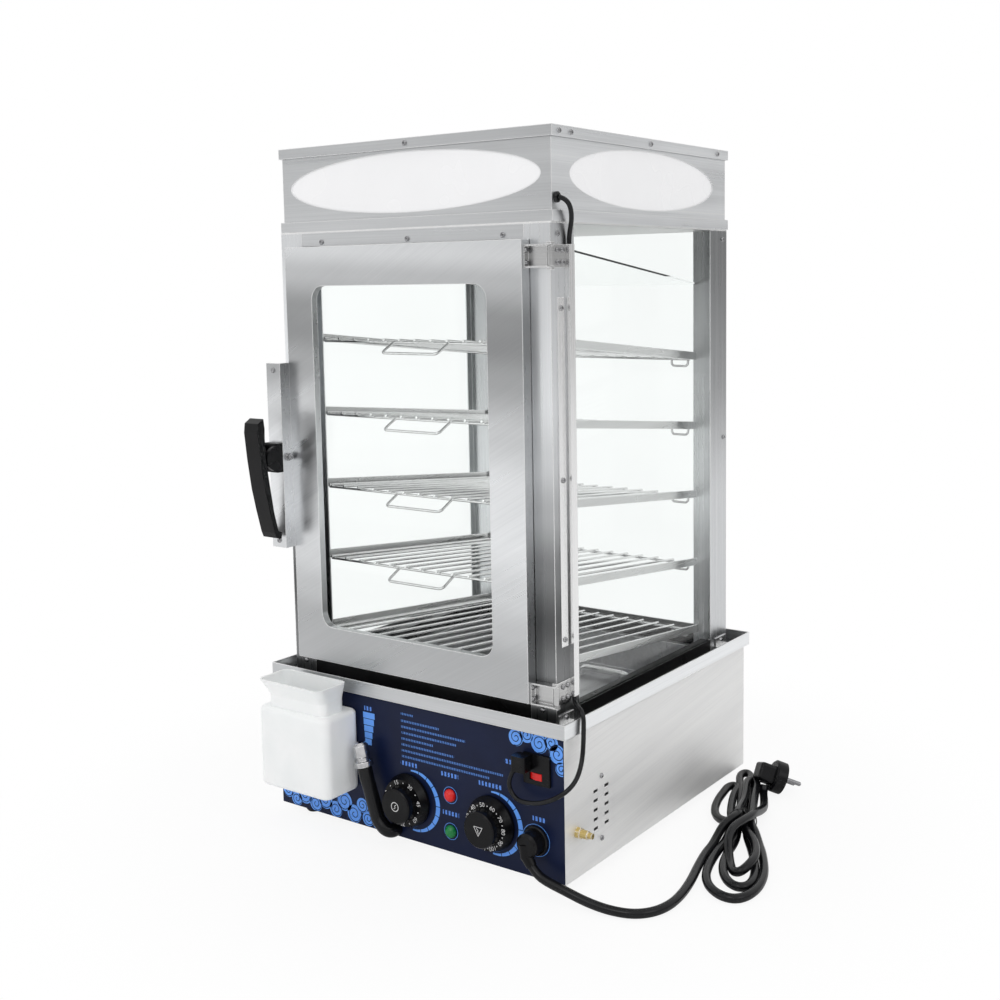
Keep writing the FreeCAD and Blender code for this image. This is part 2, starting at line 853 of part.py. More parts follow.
def rack_rails():
    """Angle rails between the posts' inner lips, one pair for each rack."""
    rails = []
    for index in range(rack_count):
        level = rail_level(index)
        ends = (post_front_lip_y, post_rear_lip_y)
        upright = sloped_bar(rail_outer_x - rail_sheet, rail_outer_x, ends[0], ends[1],
                             level, 0, rail_height, rack_tangent)
        ledge = sloped_bar(rail_outer_x - rail_ledge, rail_outer_x, ends[0], ends[1],
                           level, 0, rail_sheet, rack_tangent)
        rail = fused([upright, ledge])
        rails += [rail, mirrored_x(rail)]
    return group(rails)


def rack_cross_wire(y):
    half = (wire_count - 1) * wire_pitch / 2 + cross_overhang
    below = -2 * wire_radius + weld_depth
    return cylinder(wire_radius, Vector(-half, y, below), Vector(1, 0, 0), 2 * half)


def rack_handle():
    """The hanging pull loop at the front of a rack."""
    half = rack_handle_width / 2
    top = -2 * wire_radius + weld_depth
    front = cross_front_y - rack_handle_reach
    route = [
        (rack_handle_x - half, cross_front_y, top),
        (rack_handle_x - half, front, top - rack_handle_drop),
        (rack_handle_x + half, front, top - rack_handle_drop),
        (rack_handle_x + half, cross_front_y, top),
    ]
    return round_tube(route, wire_radius, [rack_handle_bend] * 2)


def rack_stop(side):
    """A small hanging loop between the last two long wires, behind the rail ends."""
    outer = (wire_count - 1) * wire_pitch / 2
    y = wire_rear_y - wire_radius
    route = [
        (outer - wire_pitch, y, 0),
        (outer - wire_pitch, y, -stop_drop),
        (outer, y, -stop_drop),
        (outer, y, 0),
    ]
    stop = round_tube(route, wire_radius, [stop_bend] * 2)
    return stop if side > 0 else mirrored_x(stop)


def wire_rack(index):
    """One welded wire rack, laid on the ledges of its rails."""
    first = -(wire_count - 1) * wire_pitch / 2
    wires = [cylinder(wire_radius, Vector(first + number * wire_pitch, wire_front_y, 0),
                      Vector(0, 1, 0), wire_rear_y - wire_front_y) for number in range(wire_count)]
    wires += [rack_cross_wire(cross_front_y), rack_cross_wire(cross_rear_y)]
    wires += [rack_stop(-1), rack_stop(1)]
    if index > 0:
        wires.append(rack_handle())
    rack = wires[0].multiFuse(wires[1:])
    rack.rotate(Vector(0, 0, 0), Vector(1, 0, 0), -rack_slope)
    rack.translate(Vector(0, 0, rail_level(index) + rack_wire_rise))
    return rack


def drip_baffle():
    """The clear sheet under the ceiling that leads drips to the rear."""
    tangent = math.tan(math.radians(baffle_slope))
    return sloped_bar(-rail_outer_x, rail_outer_x, post_front_lip_y, post_rear_lip_y,
                      baffle_z, -baffle_thickness / 2, baffle_thickness / 2, tangent)


def cable_duct():
    """The slim channel up the near post that holds the light lead."""
    x0 = post_outer_x
    x1 = post_outer_x + duct_depth
    y1 = duct_front_y + duct_width
    duct = box(x0, x1, duct_front_y, y1, duct_bottom_z, duct_top_z)
    return duct.cut(box(x0 - 1, x1 - duct_wall, duct_front_y + duct_wall, y1 - duct_wall,
                        duct_bottom_z - 1, duct_top_z + 1))


def foot_bracket(side, y):
    """An angle that ties a post's foot to the gutter floor."""
    upright = box(post_outer_x, post_outer_x + bracket_sheet, y, y + bracket_width,
                  sill_z, sill_z + bracket_height)
    foot = box(post_outer_x, post_outer_x + bracket_foot, y, y + bracket_width,
               sill_z, sill_z + bracket_sheet)
    bracket = fused([upright, foot])
    return bracket if side > 0 else mirrored_x(bracket)


def post_fittings():
    """The duct, a side strip on each front post and a bracket at each post's foot."""
    strip = box(post_outer_x, post_outer_x + strip_sheet, strip_front_y,
                strip_front_y + strip_width, strip_bottom_z, strip_top_z)
    pieces = [cable_duct(), strip, mirrored_x(strip)]
    for side in (-1, 1):
        for y in (bracket_front_y, bracket_rear_y):
            pieces.append(foot_bracket(side, y))
    return group(pieces)


def door_frame():
    """The pressed door skin with returns at its edges and round its window."""
    skin = box(door_left_x, door_right_x, door_front_y, door_back_y, door_bottom_z, door_top_z)
    hollow = box(door_left_x + door_sheet, door_right_x - door_sheet, door_front_y + door_sheet,
                 door_back_y + 1, door_bottom_z + door_sheet, door_top_z - door_sheet)
    collar = window_prism(door_sheet, door_front_y, door_front_y + window_return)
    opening = window_prism(0, door_front_y - 1, door_back_y + 1)
    return fused([skin.cut(hollow), collar]).cut(opening)


def door_glass():
    front = door_front_y + window_return
    return box(window_left_x - door_glass_lap, window_right_x + door_glass_lap,
               front, front + door_glass_thickness,
               window_bottom_z - door_glass_lap, window_top_z + door_glass_lap)


def hinge_axis_cylinder(radius, z0, z1):
    return cylinder(radius, Vector(hinge_axis_x, hinge_axis_y, z0), Vector(0, 0, 1), z1 - z0)


def hinge_post_leaf(z):
    """The fixed leaf: a plate on the post's side, its knuckle and the hinge pin."""
    top = z + hinge_height
    knuckle_low = z + hinge_flange + hinge_running_gap
    knuckle_high = top - hinge_flange - hinge_running_gap
    plate_front = hinge_axis_y + hinge_knuckle_radius + 1.0
    plate = box(post_outer_x, post_outer_x + hinge_sheet, plate_front, hinge_leaf_rear_y, z, top)
    web = box(post_outer_x, post_outer_x + hinge_sheet, hinge_axis_y, plate_front,
              knuckle_low, knuckle_high)
    knuckle = hinge_axis_cylinder(hinge_knuckle_radius, knuckle_low, knuckle_high)
    pin = hinge_axis_cylinder(hinge_pin_radius, z - hinge_boss_height, top + hinge_boss_height)
    return fused([plate, web, knuckle, pin])


def hinge_door_leaf(z):
    """The moving leaf: a channel from the door's edge to the pin, with a boss at each end."""
    top = z + hinge_height
    leg = box(door_right_x, door_right_x + hinge_sheet, hinge_flange_front_y,
              hinge_axis_y + hinge_sheet, z, top)
    plate_end = hinge_axis_x - hinge_knuckle_radius - 2 * hinge_running_gap
    plate = box(door_right_x, plate_end, hinge_axis_y, hinge_axis_y + hinge_sheet, z, top)
    pieces = [leg, plate]
    for flange_z in (z, top - hinge_flange):
        pieces.append(box(door_right_x, hinge_axis_x + hinge_flange_end, hinge_flange_front_y,
                          hinge_axis_y + hinge_flange_end, flange_z, flange_z + hinge_flange))
    for boss_z in (z - hinge_boss_height, top):
        pieces.append(box(hinge_axis_x - hinge_boss_half, hinge_axis_x + hinge_boss_half,
                          hinge_axis_y - hinge_boss_half, hinge_axis_y + hinge_boss_half,
                          boss_z, boss_z + hinge_boss_height))
    bore = hinge_axis_cylinder(hinge_pin_radius + hinge_bore_gap,
                               z - hinge_boss_height - 1, top + hinge_boss_height + 1)
    return fused(pieces).cut(bore)


def handle_bracket():
    """The angle at the door's free edge that carries the handle."""
    web_x = door_left_x - handle_sheet
    web = box(web_x, door_left_x, handle_flange_y, handle_web_rear_y, handle_bottom_z, handle_top_z)
    flange = box(door_left_x - handle_flange_width, door_left_x, handle_flange_y,
                 handle_flange_y + handle_sheet, handle_bottom_z, handle_top_z)
    return fused([web, flange])


def lever_centre_x():
    return door_left_x - handle_flange_width / 2


def handle_block():
    """The black block on the bracket, with two ears and the lever's pin."""
    x0 = door_left_x - handle_flange_width
    x1 = door_left_x
    low = block_z - block_height / 2
    body = box(x0, x1, block_front_y, handle_flange_y, low, low + block_height)
    ear_radius = block_height / 2 - 2.4
    seat = box(x0, x1, block_front_y - 2 * ear_radius, handle_flange_y, low, low + block_height)
    pieces = [body]
    for ear_x in (x0, x1 - block_ear):
        ear = cylinder(ear_radius, Vector(ear_x, lever_pivot_y, block_z), Vector(1, 0, 0), block_ear)
        pieces.append(ear.common(seat))
    pocket_radius = lever_boss_radius + 2 * lever_side_gap
    pocket = cylinder(pocket_radius, Vector(x0 + block_ear, lever_pivot_y, block_z),
                      Vector(1, 0, 0), handle_flange_width - 2 * block_ear)
    pin = cylinder(block_pin_radius, Vector(x0, lever_pivot_y, block_z), Vector(1, 0, 0),
                   handle_flange_width)
    shape = fused(pieces).cut(pocket)
    return fused([shape, pin])


def handle_lever():
    """The bow lever: a bent bar in front of the block, with a boss on the pin."""
    centre = lever_centre_x()
    half = lever_width / 2
    face = [(-16.5, 43.5), (-24.2, 39.0), (-25.6, 29.0), (-22.8, 1.0), (-18.2, -31.0),
            (-12.8, -55.0), (-6.6, -79.0), (-4.0, -85.0), (3.2, -86.4)]
    back = [(3.8, -80.0), (-1.0, -77.5), (-6.2, -57.0), (-10.6, -29.0), (-14.2, -5.0),
            (-15.6, 23.0), (-15.2, 33.0)]
    outline = [(centre - half, lever_pivot_y + y, lever_z + z) for y, z in face + back]
    bow = prism(outline, Vector(lever_width, 0, 0))
    tongue_half = handle_flange_width / 2 - block_ear - lever_side_gap
    boss = cylinder(lever_boss_radius, Vector(centre - tongue_half, lever_pivot_y, lever_z),
                    Vector(1, 0, 0), 2 * tongue_half)
    neck = box(centre - tongue_half, centre + tongue_half, lever_pivot_y - lever_boss_radius - 7.0,
               lever_pivot_y, lever_z - 6.0, lever_z + 6.0)
    bore = cylinder(block_pin_radius + lever_pivot_gap, Vector(centre - lever_width, lever_pivot_y, lever_z),
                    Vector(1, 0, 0), 2 * lever_width)
    return fused([bow, boss, neck]).cut(bore)


def canopy_tray():
    """The lower lip of the canopy, an open angle frame on the ceiling plate."""
    height = canopy_lip_height
    tray = square_block(canopy_lip_half, canopy_lip_half, canopy_base_z, canopy_base_z + height)
    inner = canopy_lip_half - canopy_sheet
    hollow = square_block(inner, inner, canopy_wall_z, canopy_base_z + height + 1)
    opening = square_block(canopy_opening_half, canopy_opening_half, canopy_base_z - 1, canopy_wall_z + 1)
    return tray.cut([hollow, opening])


def canopy_ovals():
    """The three lit windows: front, left and right."""
    through = 4 * canopy_wall
    front = oval_prism(oval_front_half, Vector(0, -canopy_wall_half - through / 2, oval_z),
                       Vector(1, 0, 0), Vector(0, through, 0))
    right = oval_prism(oval_side_half, Vector(canopy_wall_half - through / 2, 0, oval_z),
                       Vector(0, 1, 0), Vector(through, 0, 0))
    return [front, right, mirrored_x(right)]


def canopy_shell():
    """The four canopy walls with their oval windows and a vented back."""
    half = canopy_wall_half
    walls = square_block(half, half, canopy_wall_z, canopy_wall_top_z)
    inner = half - canopy_wall
    hollow = square_block(inner, inner, canopy_wall_z - 1, canopy_wall_top_z + 1)
    slots = []
    for number in range(canopy_slot_count):
        x = (number - (canopy_slot_count - 1) / 2) * canopy_slot_pitch
        slots.append(box(x - canopy_slot_width / 2, x + canopy_slot_width / 2,
                         inner - 1, half + 1,
                         oval_z - canopy_slot_height / 2, oval_z + canopy_slot_height / 2))
    bore = cylinder(grommet_radius - 1.4, Vector(inner - 1, grommet_y, grommet_z),
                    Vector(1, 0, 0), canopy_wall + 2)
    return walls.cut([hollow, bore] + slots + canopy_ovals())


def canopy_lid():
    half = canopy_lip_half
    lid = square_block(half, half, canopy_top_z - canopy_lid_skirt, canopy_top_z)
    inner = half - canopy_sheet
    return lid.cut(square_block(inner, inner, canopy_top_z - canopy_lid_skirt - 1, canopy_wall_top_z))


def canopy_diffusers():
    """Opal plates against the inside of the canopy walls, behind the ovals."""
    outer = canopy_wall_half - canopy_wall - diffuser_gap
    inner = outer - diffuser_thickness
    low = oval_z - oval_half_height - diffuser_margin
    high = oval_z + oval_half_height + diffuser_margin
    front_half = oval_front_half + diffuser_margin
    side_half = oval_side_half + diffuser_margin
    front = box(-front_half, front_half, -outer, -inner, low, high)
    right = box(inner, outer, -side_half, side_half, low, high)
    return group([front, right, mirrored_x(right)])


def canopy_lamp():
    """The light tube between two holders that stand on the tray's flange."""
    tube = cylinder(lamp_radius, Vector(-lamp_half_length, 0, lamp_z), Vector(1, 0, 0),
                    2 * lamp_half_length)
    holder = box(lamp_half_length, lamp_half_length + lamp_holder_width, -lamp_holder_depth / 2,
                 lamp_holder_depth / 2, canopy_wall_z, lamp_z + lamp_holder_rise)
    return group([tube, holder, mirrored_x(holder)])


def dial_body(x):
    """A timer or thermostat case behind the front wall, bored for its shaft."""
    front = wall_inner_y
    case = box(x - dial_body_half, x + dial_body_half, front, front + dial_body_depth,
               dial_z - dial_body_half, dial_z + dial_body_half)
    return case.cut(cylinder(dial_shaft_radius + dial_shaft_gap, Vector(x, front - 1, dial_z),
                             Vector(0, 1, 0), dial_body_bore + 1))


def dial_knob(x):
    """A black knob with a conical skirt and a tall cap, on its shaft."""
    back = film_y - knob_panel_gap
    cap_top = knob_skirt_depth + knob_cap_depth
    profile = [
        (0, 0), (knob_skirt_radius, 0), (knob_skirt_radius, 3.0),
        (knob_shoulder_radius, knob_skirt_depth), (knob_cap_radius, knob_skirt_depth),
        (knob_cap_radius - 0.6, cap_top - 1.2), (knob_cap_radius - 1.8, cap_top), (0, cap_top),
    ]
    knob = turned(profile, Vector(x, back, dial_z), Vector(0, -1, 0))
    shaft_end = wall_inner_y + dial_body_bore - 1.0
    shaft = cylinder(dial_shaft_radius, Vector(x, back - 2.0, dial_z), Vector(0, 1, 0),
                     shaft_end - back + 2.0)
    return fused([knob, shaft])


def panel_lamp(z):
    """A round signal lamp: a domed lens outside and a barrel through the wall."""
    rim = lamp_lens_radius
    profile = [
        (0, -lamp_barrel_depth), (lamp_barrel_radius, -lamp_barrel_depth), (lamp_barrel_radius, 0),
        (rim, 0), (rim, 1.6), (rim * 0.86, 3.2), (rim * 0.55, 4.8), (0, lamp_lens_height),
    ]
    return turned(profile, Vector(lamp_x, film_y, z), Vector(0, -1, 0))


def rocker_axis_y():
    return film_y - switch_bezel + rocker_axis_setback


def switch_housing():
    """The square switch inlet: bezel, rear body and the rocker's pocket."""
    bezel = box(switch_left_x, switch_right_x, film_y - switch_bezel, film_y,
                switch_bottom_z, switch_top_z)
    body = box(switch_left_x + switch_body_inset, switch_right_x - switch_body_inset,
               film_y, film_y + switch_body_depth,
               switch_bottom_z + switch_body_inset, switch_top_z - switch_body_inset)
    pocket_low = rocker_z - rocker_height / 2 - rocker_gap
    pocket = cylinder(rocker_radius + rocker_gap, Vector(rocker_x, rocker_axis_y(), pocket_low),
                      Vector(0, 0, 1), rocker_height + 2 * rocker_gap)
    return fused([bezel, body]).cut(pocket)


def switch_rocker():
    """The red rocker: a half drum with a low roof, tipped to one side."""
    low = rocker_z - rocker_height / 2
    drum = cylinder(rocker_radius, Vector(0, 0, low), Vector(0, 0, 1), rocker_height)
    front = box(-2 * rocker_radius, 2 * rocker_radius, -2 * rocker_radius, 0, low - 1,
                low + rocker_height + 1)
    half = rocker_radius * 0.98
    roof = prism([(-half, 0.4, low), (-half, 0, low), (0, -rocker_crown, low), (half, 0, low),
                  (half, 0.4, low)], Vector(0, 0, rocker_height))
    rocker = fused([drum.cut(front), roof])
    rocker.rotate(Vector(0, 0, 0), Vector(0, 0, 1), -rocker_tilt)
    rocker.translate(Vector(rocker_x, rocker_axis_y(), 0))
    return rocker


def boot(root, end, root_radius, end_radius):
    """A tapered strain relief between two points."""
    start = vector(root)
    heading = vector(end) - start
    return Part.makeCone(root_radius, end_radius, heading.Length, start, heading)


def lamp_plug():
    """The right-angle plug on the switch inlet, with its strain relief."""
    bezel_y = film_y - switch_bezel
    body = rounded_prism(lamp_plug_left_x, lamp_plug_right_x, bezel_y - lamp_plug_depth, bezel_y,
                         lamp_plug_bottom_z, lamp_plug_top_z, 2.5)
    relief = boot(lead_boot_start, lead_start, lead_boot_radius, lead_radius + 0.7)
    return fused([body, relief]).cut(cord_seat(lead_low_route, lead_radius))


def lamp_lead_route():
    duct = [(duct_lead_x, duct_lead_y, duct_lead_low_z), (duct_lead_x, duct_lead_y, duct_lead_high_z)]
    grommet_face = canopy_wall_half + grommet_stand
    return lead_low_route + duct + lead_high_route + [(grommet_face, grommet_y, grommet_z)]


def lamp_lead():
    return cord_tube("lamp_lead", lamp_lead_route(), lead_radius)


def lead_grommet():
    """The rubber grommet where the light lead enters the canopy."""
    profile = [(0, 0), (grommet_radius, 0), (grommet_radius, grommet_stand - 1.0),
               (grommet_radius - 1.2, grommet_stand), (0, grommet_stand)]
    collar = turned(profile, Vector(canopy_wall_half, grommet_y, grommet_z), Vector(1, 0, 0))
    return collar.cut(cord_seat(lamp_lead_route()[::-1], lead_radius))


def power_inlet():
    """The round inlet on the panel with the angled boot of the power cord."""
    body_end = inlet_flange_depth + inlet_body_depth
    profile = [
        (0, 0), (inlet_flange_radius, 0), (inlet_flange_radius, inlet_flange_depth - 1.0),
        (inlet_flange_radius - 1.0, inlet_flange_depth), (inlet_body_radius, inlet_flange_depth),
        (inlet_body_radius, body_end - 2.5), (inlet_body_radius - 2.5, body_end), (0, body_end),
    ]
    body = turned(profile, Vector(inlet_x, film_y, inlet_z), Vector(0, -1, 0))
    root, middle, end = inlet_boot_route
    elbow = Part.makeSphere(inlet_boot_radius, vector(middle))
    upper = boot(root, middle, inlet_boot_radius + 0.6, inlet_boot_radius)
    lower = boot(middle, end, inlet_boot_radius, cord_radius + 0.6)
    return fused([body, upper, elbow, lower]).cut(cord_seat(cord_route, cord_radius))


def hank_point(along, across):
    """A floor position in the hank's own axes: along its length and across it."""
    angle = math.radians(hank_heading)
    x = hank_centre[0] + along * math.cos(angle) + across * math.sin(angle)
    y = hank_centre[1] + along * math.sin(angle) - across * math.cos(angle)
    return (x, y)


def hank_slab(outline, low, high):
    points = [hank_point(along, across) + (low,) for along, across in outline]
    return prism(points, Vector(0, 0, high - low))


def waist_outline(half_length, half_width):
    return [(-half_length, -half_width), (half_length, -half_width),
            (half_length, half_width), (-half_length, half_width)]


def cord_hank():
    """The outer shape of the tied hank: two lobes and a narrow waist."""
    lobes = []
    for outline, top in ((hank_upper_outline, upper_lobe_top_z), (hank_lower_outline, lower_lobe_top_z)):
        lobe = hank_slab(outline, hank_floor_z, top)
        flat = [edge for edge in lobe.Edges
                if abs(edge.Vertexes[0].Point.z - edge.Vertexes[1].Point.z) < 0.01]
        lobes.append(lobe.makeChamfer(hank_corner, flat))
    waist = hank_slab(waist_outline(waist_half_length, waist_half_width), waist_low_z, waist_high_z)
    return fused(lobes + [waist])


def cord_tie():
    """The band round the hank's waist."""
    half_length = tie_width / 2
    outer = hank_slab(waist_outline(half_length, waist_half_width + tie_thickness),
                      waist_low_z - tie_thickness, waist_high_z + tie_thickness)
    inner = hank_slab(waist_outline(half_length + 1, waist_half_width), waist_low_z, waist_high_z)
    return outer.cut(inner)


def plug_directions():
    """The plug's own axes in the world: along its pins, along its cord's exit, and across both."""
    tilt = math.radians(plug_tilt)
    heading = math.radians(plug_heading)
    pins = Vector(math.cos(tilt) * math.cos(heading), math.cos(tilt) * math.sin(heading),
                  -math.sin(tilt))
    level = Vector(-math.sin(heading), math.cos(heading), 0)
    down = level.cross(pins)
    roll = math.radians(plug_roll)
    leaving = down * math.cos(roll) - level * math.sin(roll)
    across = level * math.cos(roll) + down * math.sin(roll)
    return pins, leaving, across


def plug_exit(distance):
    """A point on the line of the cord's exit, at a distance from the grip's middle."""
    pins, leaving, across = plug_directions()
    return vector(plug_face) - pins * plug_boot_setback + leaving * distance


def plug_lead():
    """The cord from the hank to the plug, bent up into the plug's strain relief."""
    leaving = plug_directions()[1]
    end = plug_exit(plug_boot_length)
    knee = end + leaving * plug_lead_step
    onward = (vector(plug_lead_route[-1]) - knee).normalize()
    bend = knee + (leaving + onward).normalize() * plug_lead_step
    bend.z = max(bend.z, plug_lead_route[-1][2])
    return cord_tube("plug_lead", plug_lead_route + [bend, knee, end], cord_radius)


def plug_body():
    """The round mains plug lying on its rim, with its grip and strain relief."""
    pins, leaving, across = plug_directions()
    face = vector(plug_face)
    depth = plug_face_depth
    profile = [(0, 0), (plug_radius, 0), (plug_radius, depth - 2.0), (plug_radius - 2.0, depth), (0, depth)]
    disc = turned(profile, face, pins * -1)
    grip = box(-plug_grip_width / 2, plug_grip_width / 2, -plug_grip_height / 2,
               plug_grip_height / 2, depth - 1.0, depth + plug_grip_length)
    rear = [edge for edge in grip.Edges
            if max(vertex.Point.z for vertex in edge.Vertexes) > depth + plug_grip_length - 0.01]
    grip = grip.makeFillet(3.5, rear)
    turn = FreeCAD.Rotation(across, leaving, pins * -1, "ZYX")
    grip.Placement = FreeCAD.Placement(face, turn)
    relief = boot(plug_exit(0), plug_exit(plug_boot_length), 7.0, cord_radius + 0.6)
    return fused([disc, grip, relief])


def plug_pins():
    pins, leaving, across = plug_directions()
    shapes = []
    for side in (-1, 1):
        root = vector(plug_face) + across * (side * plug_pin_spacing / 2)
        profile = [(0, 0), (plug_pin_radius, 0), (plug_pin_radius, plug_pin_length - 1.2),
                   (plug_pin_radius - 1.2, plug_pin_length), (0, plug_pin_length)]
        shapes.append(turned(profile, root, pins))
    return group(shapes)


def hose_axis():
    return (vector(hose_top) - vector(hose_route[-1])).normalize()


def drain_hose():
    """The rubber drain hose, bored at its top for the cap's stem."""
    hose = round_tube(hose_route + [hose_top], hose_radius, hose_bends)
    bore = cylinder(cap_stem_radius + cap_stem_gap, vector(hose_top) + hose_axis() * 1.0,
                    hose_axis() * -1, cap_stem_length + 2.0)
    return hose.cut(bore)


def drain_cap():
    """The chrome cap whose stem plugs the hose."""
    grip = cap_knob_radius
    top = cap_height
    profile = [
        (0, -cap_stem_length), (cap_stem_radius, -cap_stem_length), (cap_stem_radius, 0),
        (cap_flange_radius, 0), (cap_flange_radius, 5.0), (grip - 1.0, 6.0), (grip - 1.0, 9.0),
        (grip, 10.5), (grip, top - 3.0), (grip - 2.5, top), (0, top),
    ]
    return turned(profile, vector(hose_top), hose_axis())


def cup_solid(wall, floor_z, top_z):
    """The cup's outer form shrunk by wall: body, neck and flared mouth."""
    back = film_y
    front = back - cup_depth
    body = rounded_prism(cup_left_x + wall, cup_right_x - wall, front + wall, back - wall,
                         floor_z, cup_shoulder_z - wall, cup_corner - wall)
    body = body.makeFillet(cup_edge - wall / 2, [
        edge for edge in body.Edges
        if abs(edge.Vertexes[0].Point.z - edge.Vertexes[-1].Point.z) < 0.01])
    neck_x0 = cup_left_x + neck_inset_x + wall
    neck_x1 = cup_right_x - neck_inset_x - wall
    neck_y0 = front + neck_front_gap + wall
    neck_y1 = neck_y0 + neck_depth - 2 * wall
    radius = mouth_corner - wall
    neck = rounded_prism(neck_x0, neck_x1, neck_y0, neck_y1,
                         cup_shoulder_z - cup_edge - wall, neck_top_z, radius)
    lower = rounded_rectangle(Vector((neck_x0 + neck_x1) / 2, (neck_y0 + neck_y1) / 2, neck_top_z),
                              (neck_x1 - neck_x0) / 2, (neck_y1 - neck_y0) / 2, radius,
                              Vector(1, 0, 0), Vector(0, 1, 0))
    mouth_half_x = (mouth_right_x - mouth_left_x) / 2 - wall
    mouth_y = mouth_front_y + mouth_depth / 2
    upper = rounded_rectangle(Vector((mouth_left_x + mouth_right_x) / 2, mouth_y, top_z),
                              mouth_half_x, mouth_depth / 2 - wall, radius,
                              Vector(1, 0, 0), Vector(0, 1, 0))
    flare = Part.makeLoft([lower, upper], True)
    return fused([body, neck, flare])


def water_cup():
    """The translucent water cup on the front panel, open at its mouth."""
    outer = cup_solid(0.0, cup_bottom_z, mouth_top_z)
    inner = cup_solid(cup_wall, cup_bottom_z + cup_wall, mouth_top_z)
    return outer.cut(inner)


def side_valve():
    """The brass nipple low on the right wall."""
    hexagon = [(valve_hex_radius * math.cos(math.radians(60 * n)),
                valve_hex_radius * math.sin(math.radians(60 * n)), 0) for n in range(6)]
    nut = prism(hexagon, Vector(0, 0, valve_hex_length))
    nut.Placement = FreeCAD.Placement(Vector(base_half_x, valve_y, valve_z),
                                      FreeCAD.Rotation(Vector(0, 0, 1), Vector(1, 0, 0)))
    barrel_end = valve_hex_length + valve_barrel_length
    profile = [(0, 0), (valve_barrel_radius, 0), (valve_barrel_radius, barrel_end),
               (valve_tip_radius, barrel_end), (valve_tip_radius, valve_length), (0, valve_length)]
    barrel = turned(profile, Vector(base_half_x, valve_y, valve_z), Vector(1, 0, 0))
    return fused([nut, barrel])


def cabinet_screws():
    """Screw and rivet heads on the fixed sheet metal."""
    heads = []
    lid_half = canopy_lip_half
    for side in (-1, 1):
        outward = Vector(side, 0, 0)
        post_x = side * post_outer_x
        lid_x = side * canopy_lip_half
        lid_z = canopy_top_z - canopy_lid_skirt / 2
        for y in (12.0 - lid_half, 31.8 - lid_half, 3.6, lid_half - 26.1):
            heads.append(screw_head((lid_x, y, lid_z), outward))
        for y, z in ((post_front_y + 11.5, ceiling_z - 9.6), (post_rear_y - 10.5, ceiling_z - 9.6),
                     (post_rear_y - 7.5, block_z + 1.0)):
            heads.append(screw_head((post_x, y, z), outward))
        for z in (strip_top_z - 10.0, block_z - 5.0, strip_bottom_z + 7.0):
            heads.append(screw_head((side * (post_outer_x + strip_sheet),
                                     strip_front_y + strip_width / 2, z), outward))
        for y in (bracket_front_y, bracket_rear_y):
            heads.append(screw_head((side * (post_outer_x + bracket_sheet),
                                     y + bracket_width / 2, sill_z + 6.6), outward))
        heads.append(screw_head((side * (post_outer_x - 16.0), post_front_y, front_sill_z - 2.5), Vector(0, -1, 0)))
    for x in (-115.0, 2.0, 120.0):
        heads.append(screw_head((x, post_front_y, ceiling_z - beam_height + 4.0), Vector(0, -1, 0)))
    heads.append(screw_head((0.0, -canopy_lip_half, canopy_top_z - canopy_lid_skirt / 2),
                            Vector(0, -1, 0)))
    for hinge_z in (bottom_hinge_z, top_hinge_z):
        for y in (post_front_y + 9.5, post_front_y + 17.5):
            for rise in (5.0, 16.6):
                heads.append(screw_head((post_outer_x + hinge_sheet, y, hinge_z + rise),
                                        Vector(1, 0, 0)))
    for z in rivet_heights:
        heads.append(screw_head((base_half_x, rivet_y, z), Vector(1, 0, 0)))
    return group(heads)


def door_screws():
    """Screw heads on the hinge leaves and the handle bracket, and the handle's bolt end."""
    heads = []
    for hinge_z in (bottom_hinge_z, top_hinge_z):
        for rise in (5.0, 16.6):
            heads.append(screw_head((door_right_x + hinge_sheet,
                                     (hinge_flange_front_y + hinge_axis_y) / 2, hinge_z + rise),
                                    Vector(1, 0, 0)))
    for z in (handle_top_z - 7.5, handle_bottom_z + 7.5):
        heads.append(screw_head((lever_centre_x(), handle_flange_y, z), Vector(0, -1, 0)))
    bolt_y = (handle_flange_y + handle_sheet + door_front_y) / 2
    profile = [(0, 0), (4.4, 0), (4.4, 1.6), (3.0, 1.6), (3.0, 5.0), (2.0, 6.0), (0, 6.0)]
    heads.append(turned(profile, Vector(door_left_x, bolt_y, block_z), Vector(1, 0, 0)))
    return group(heads)


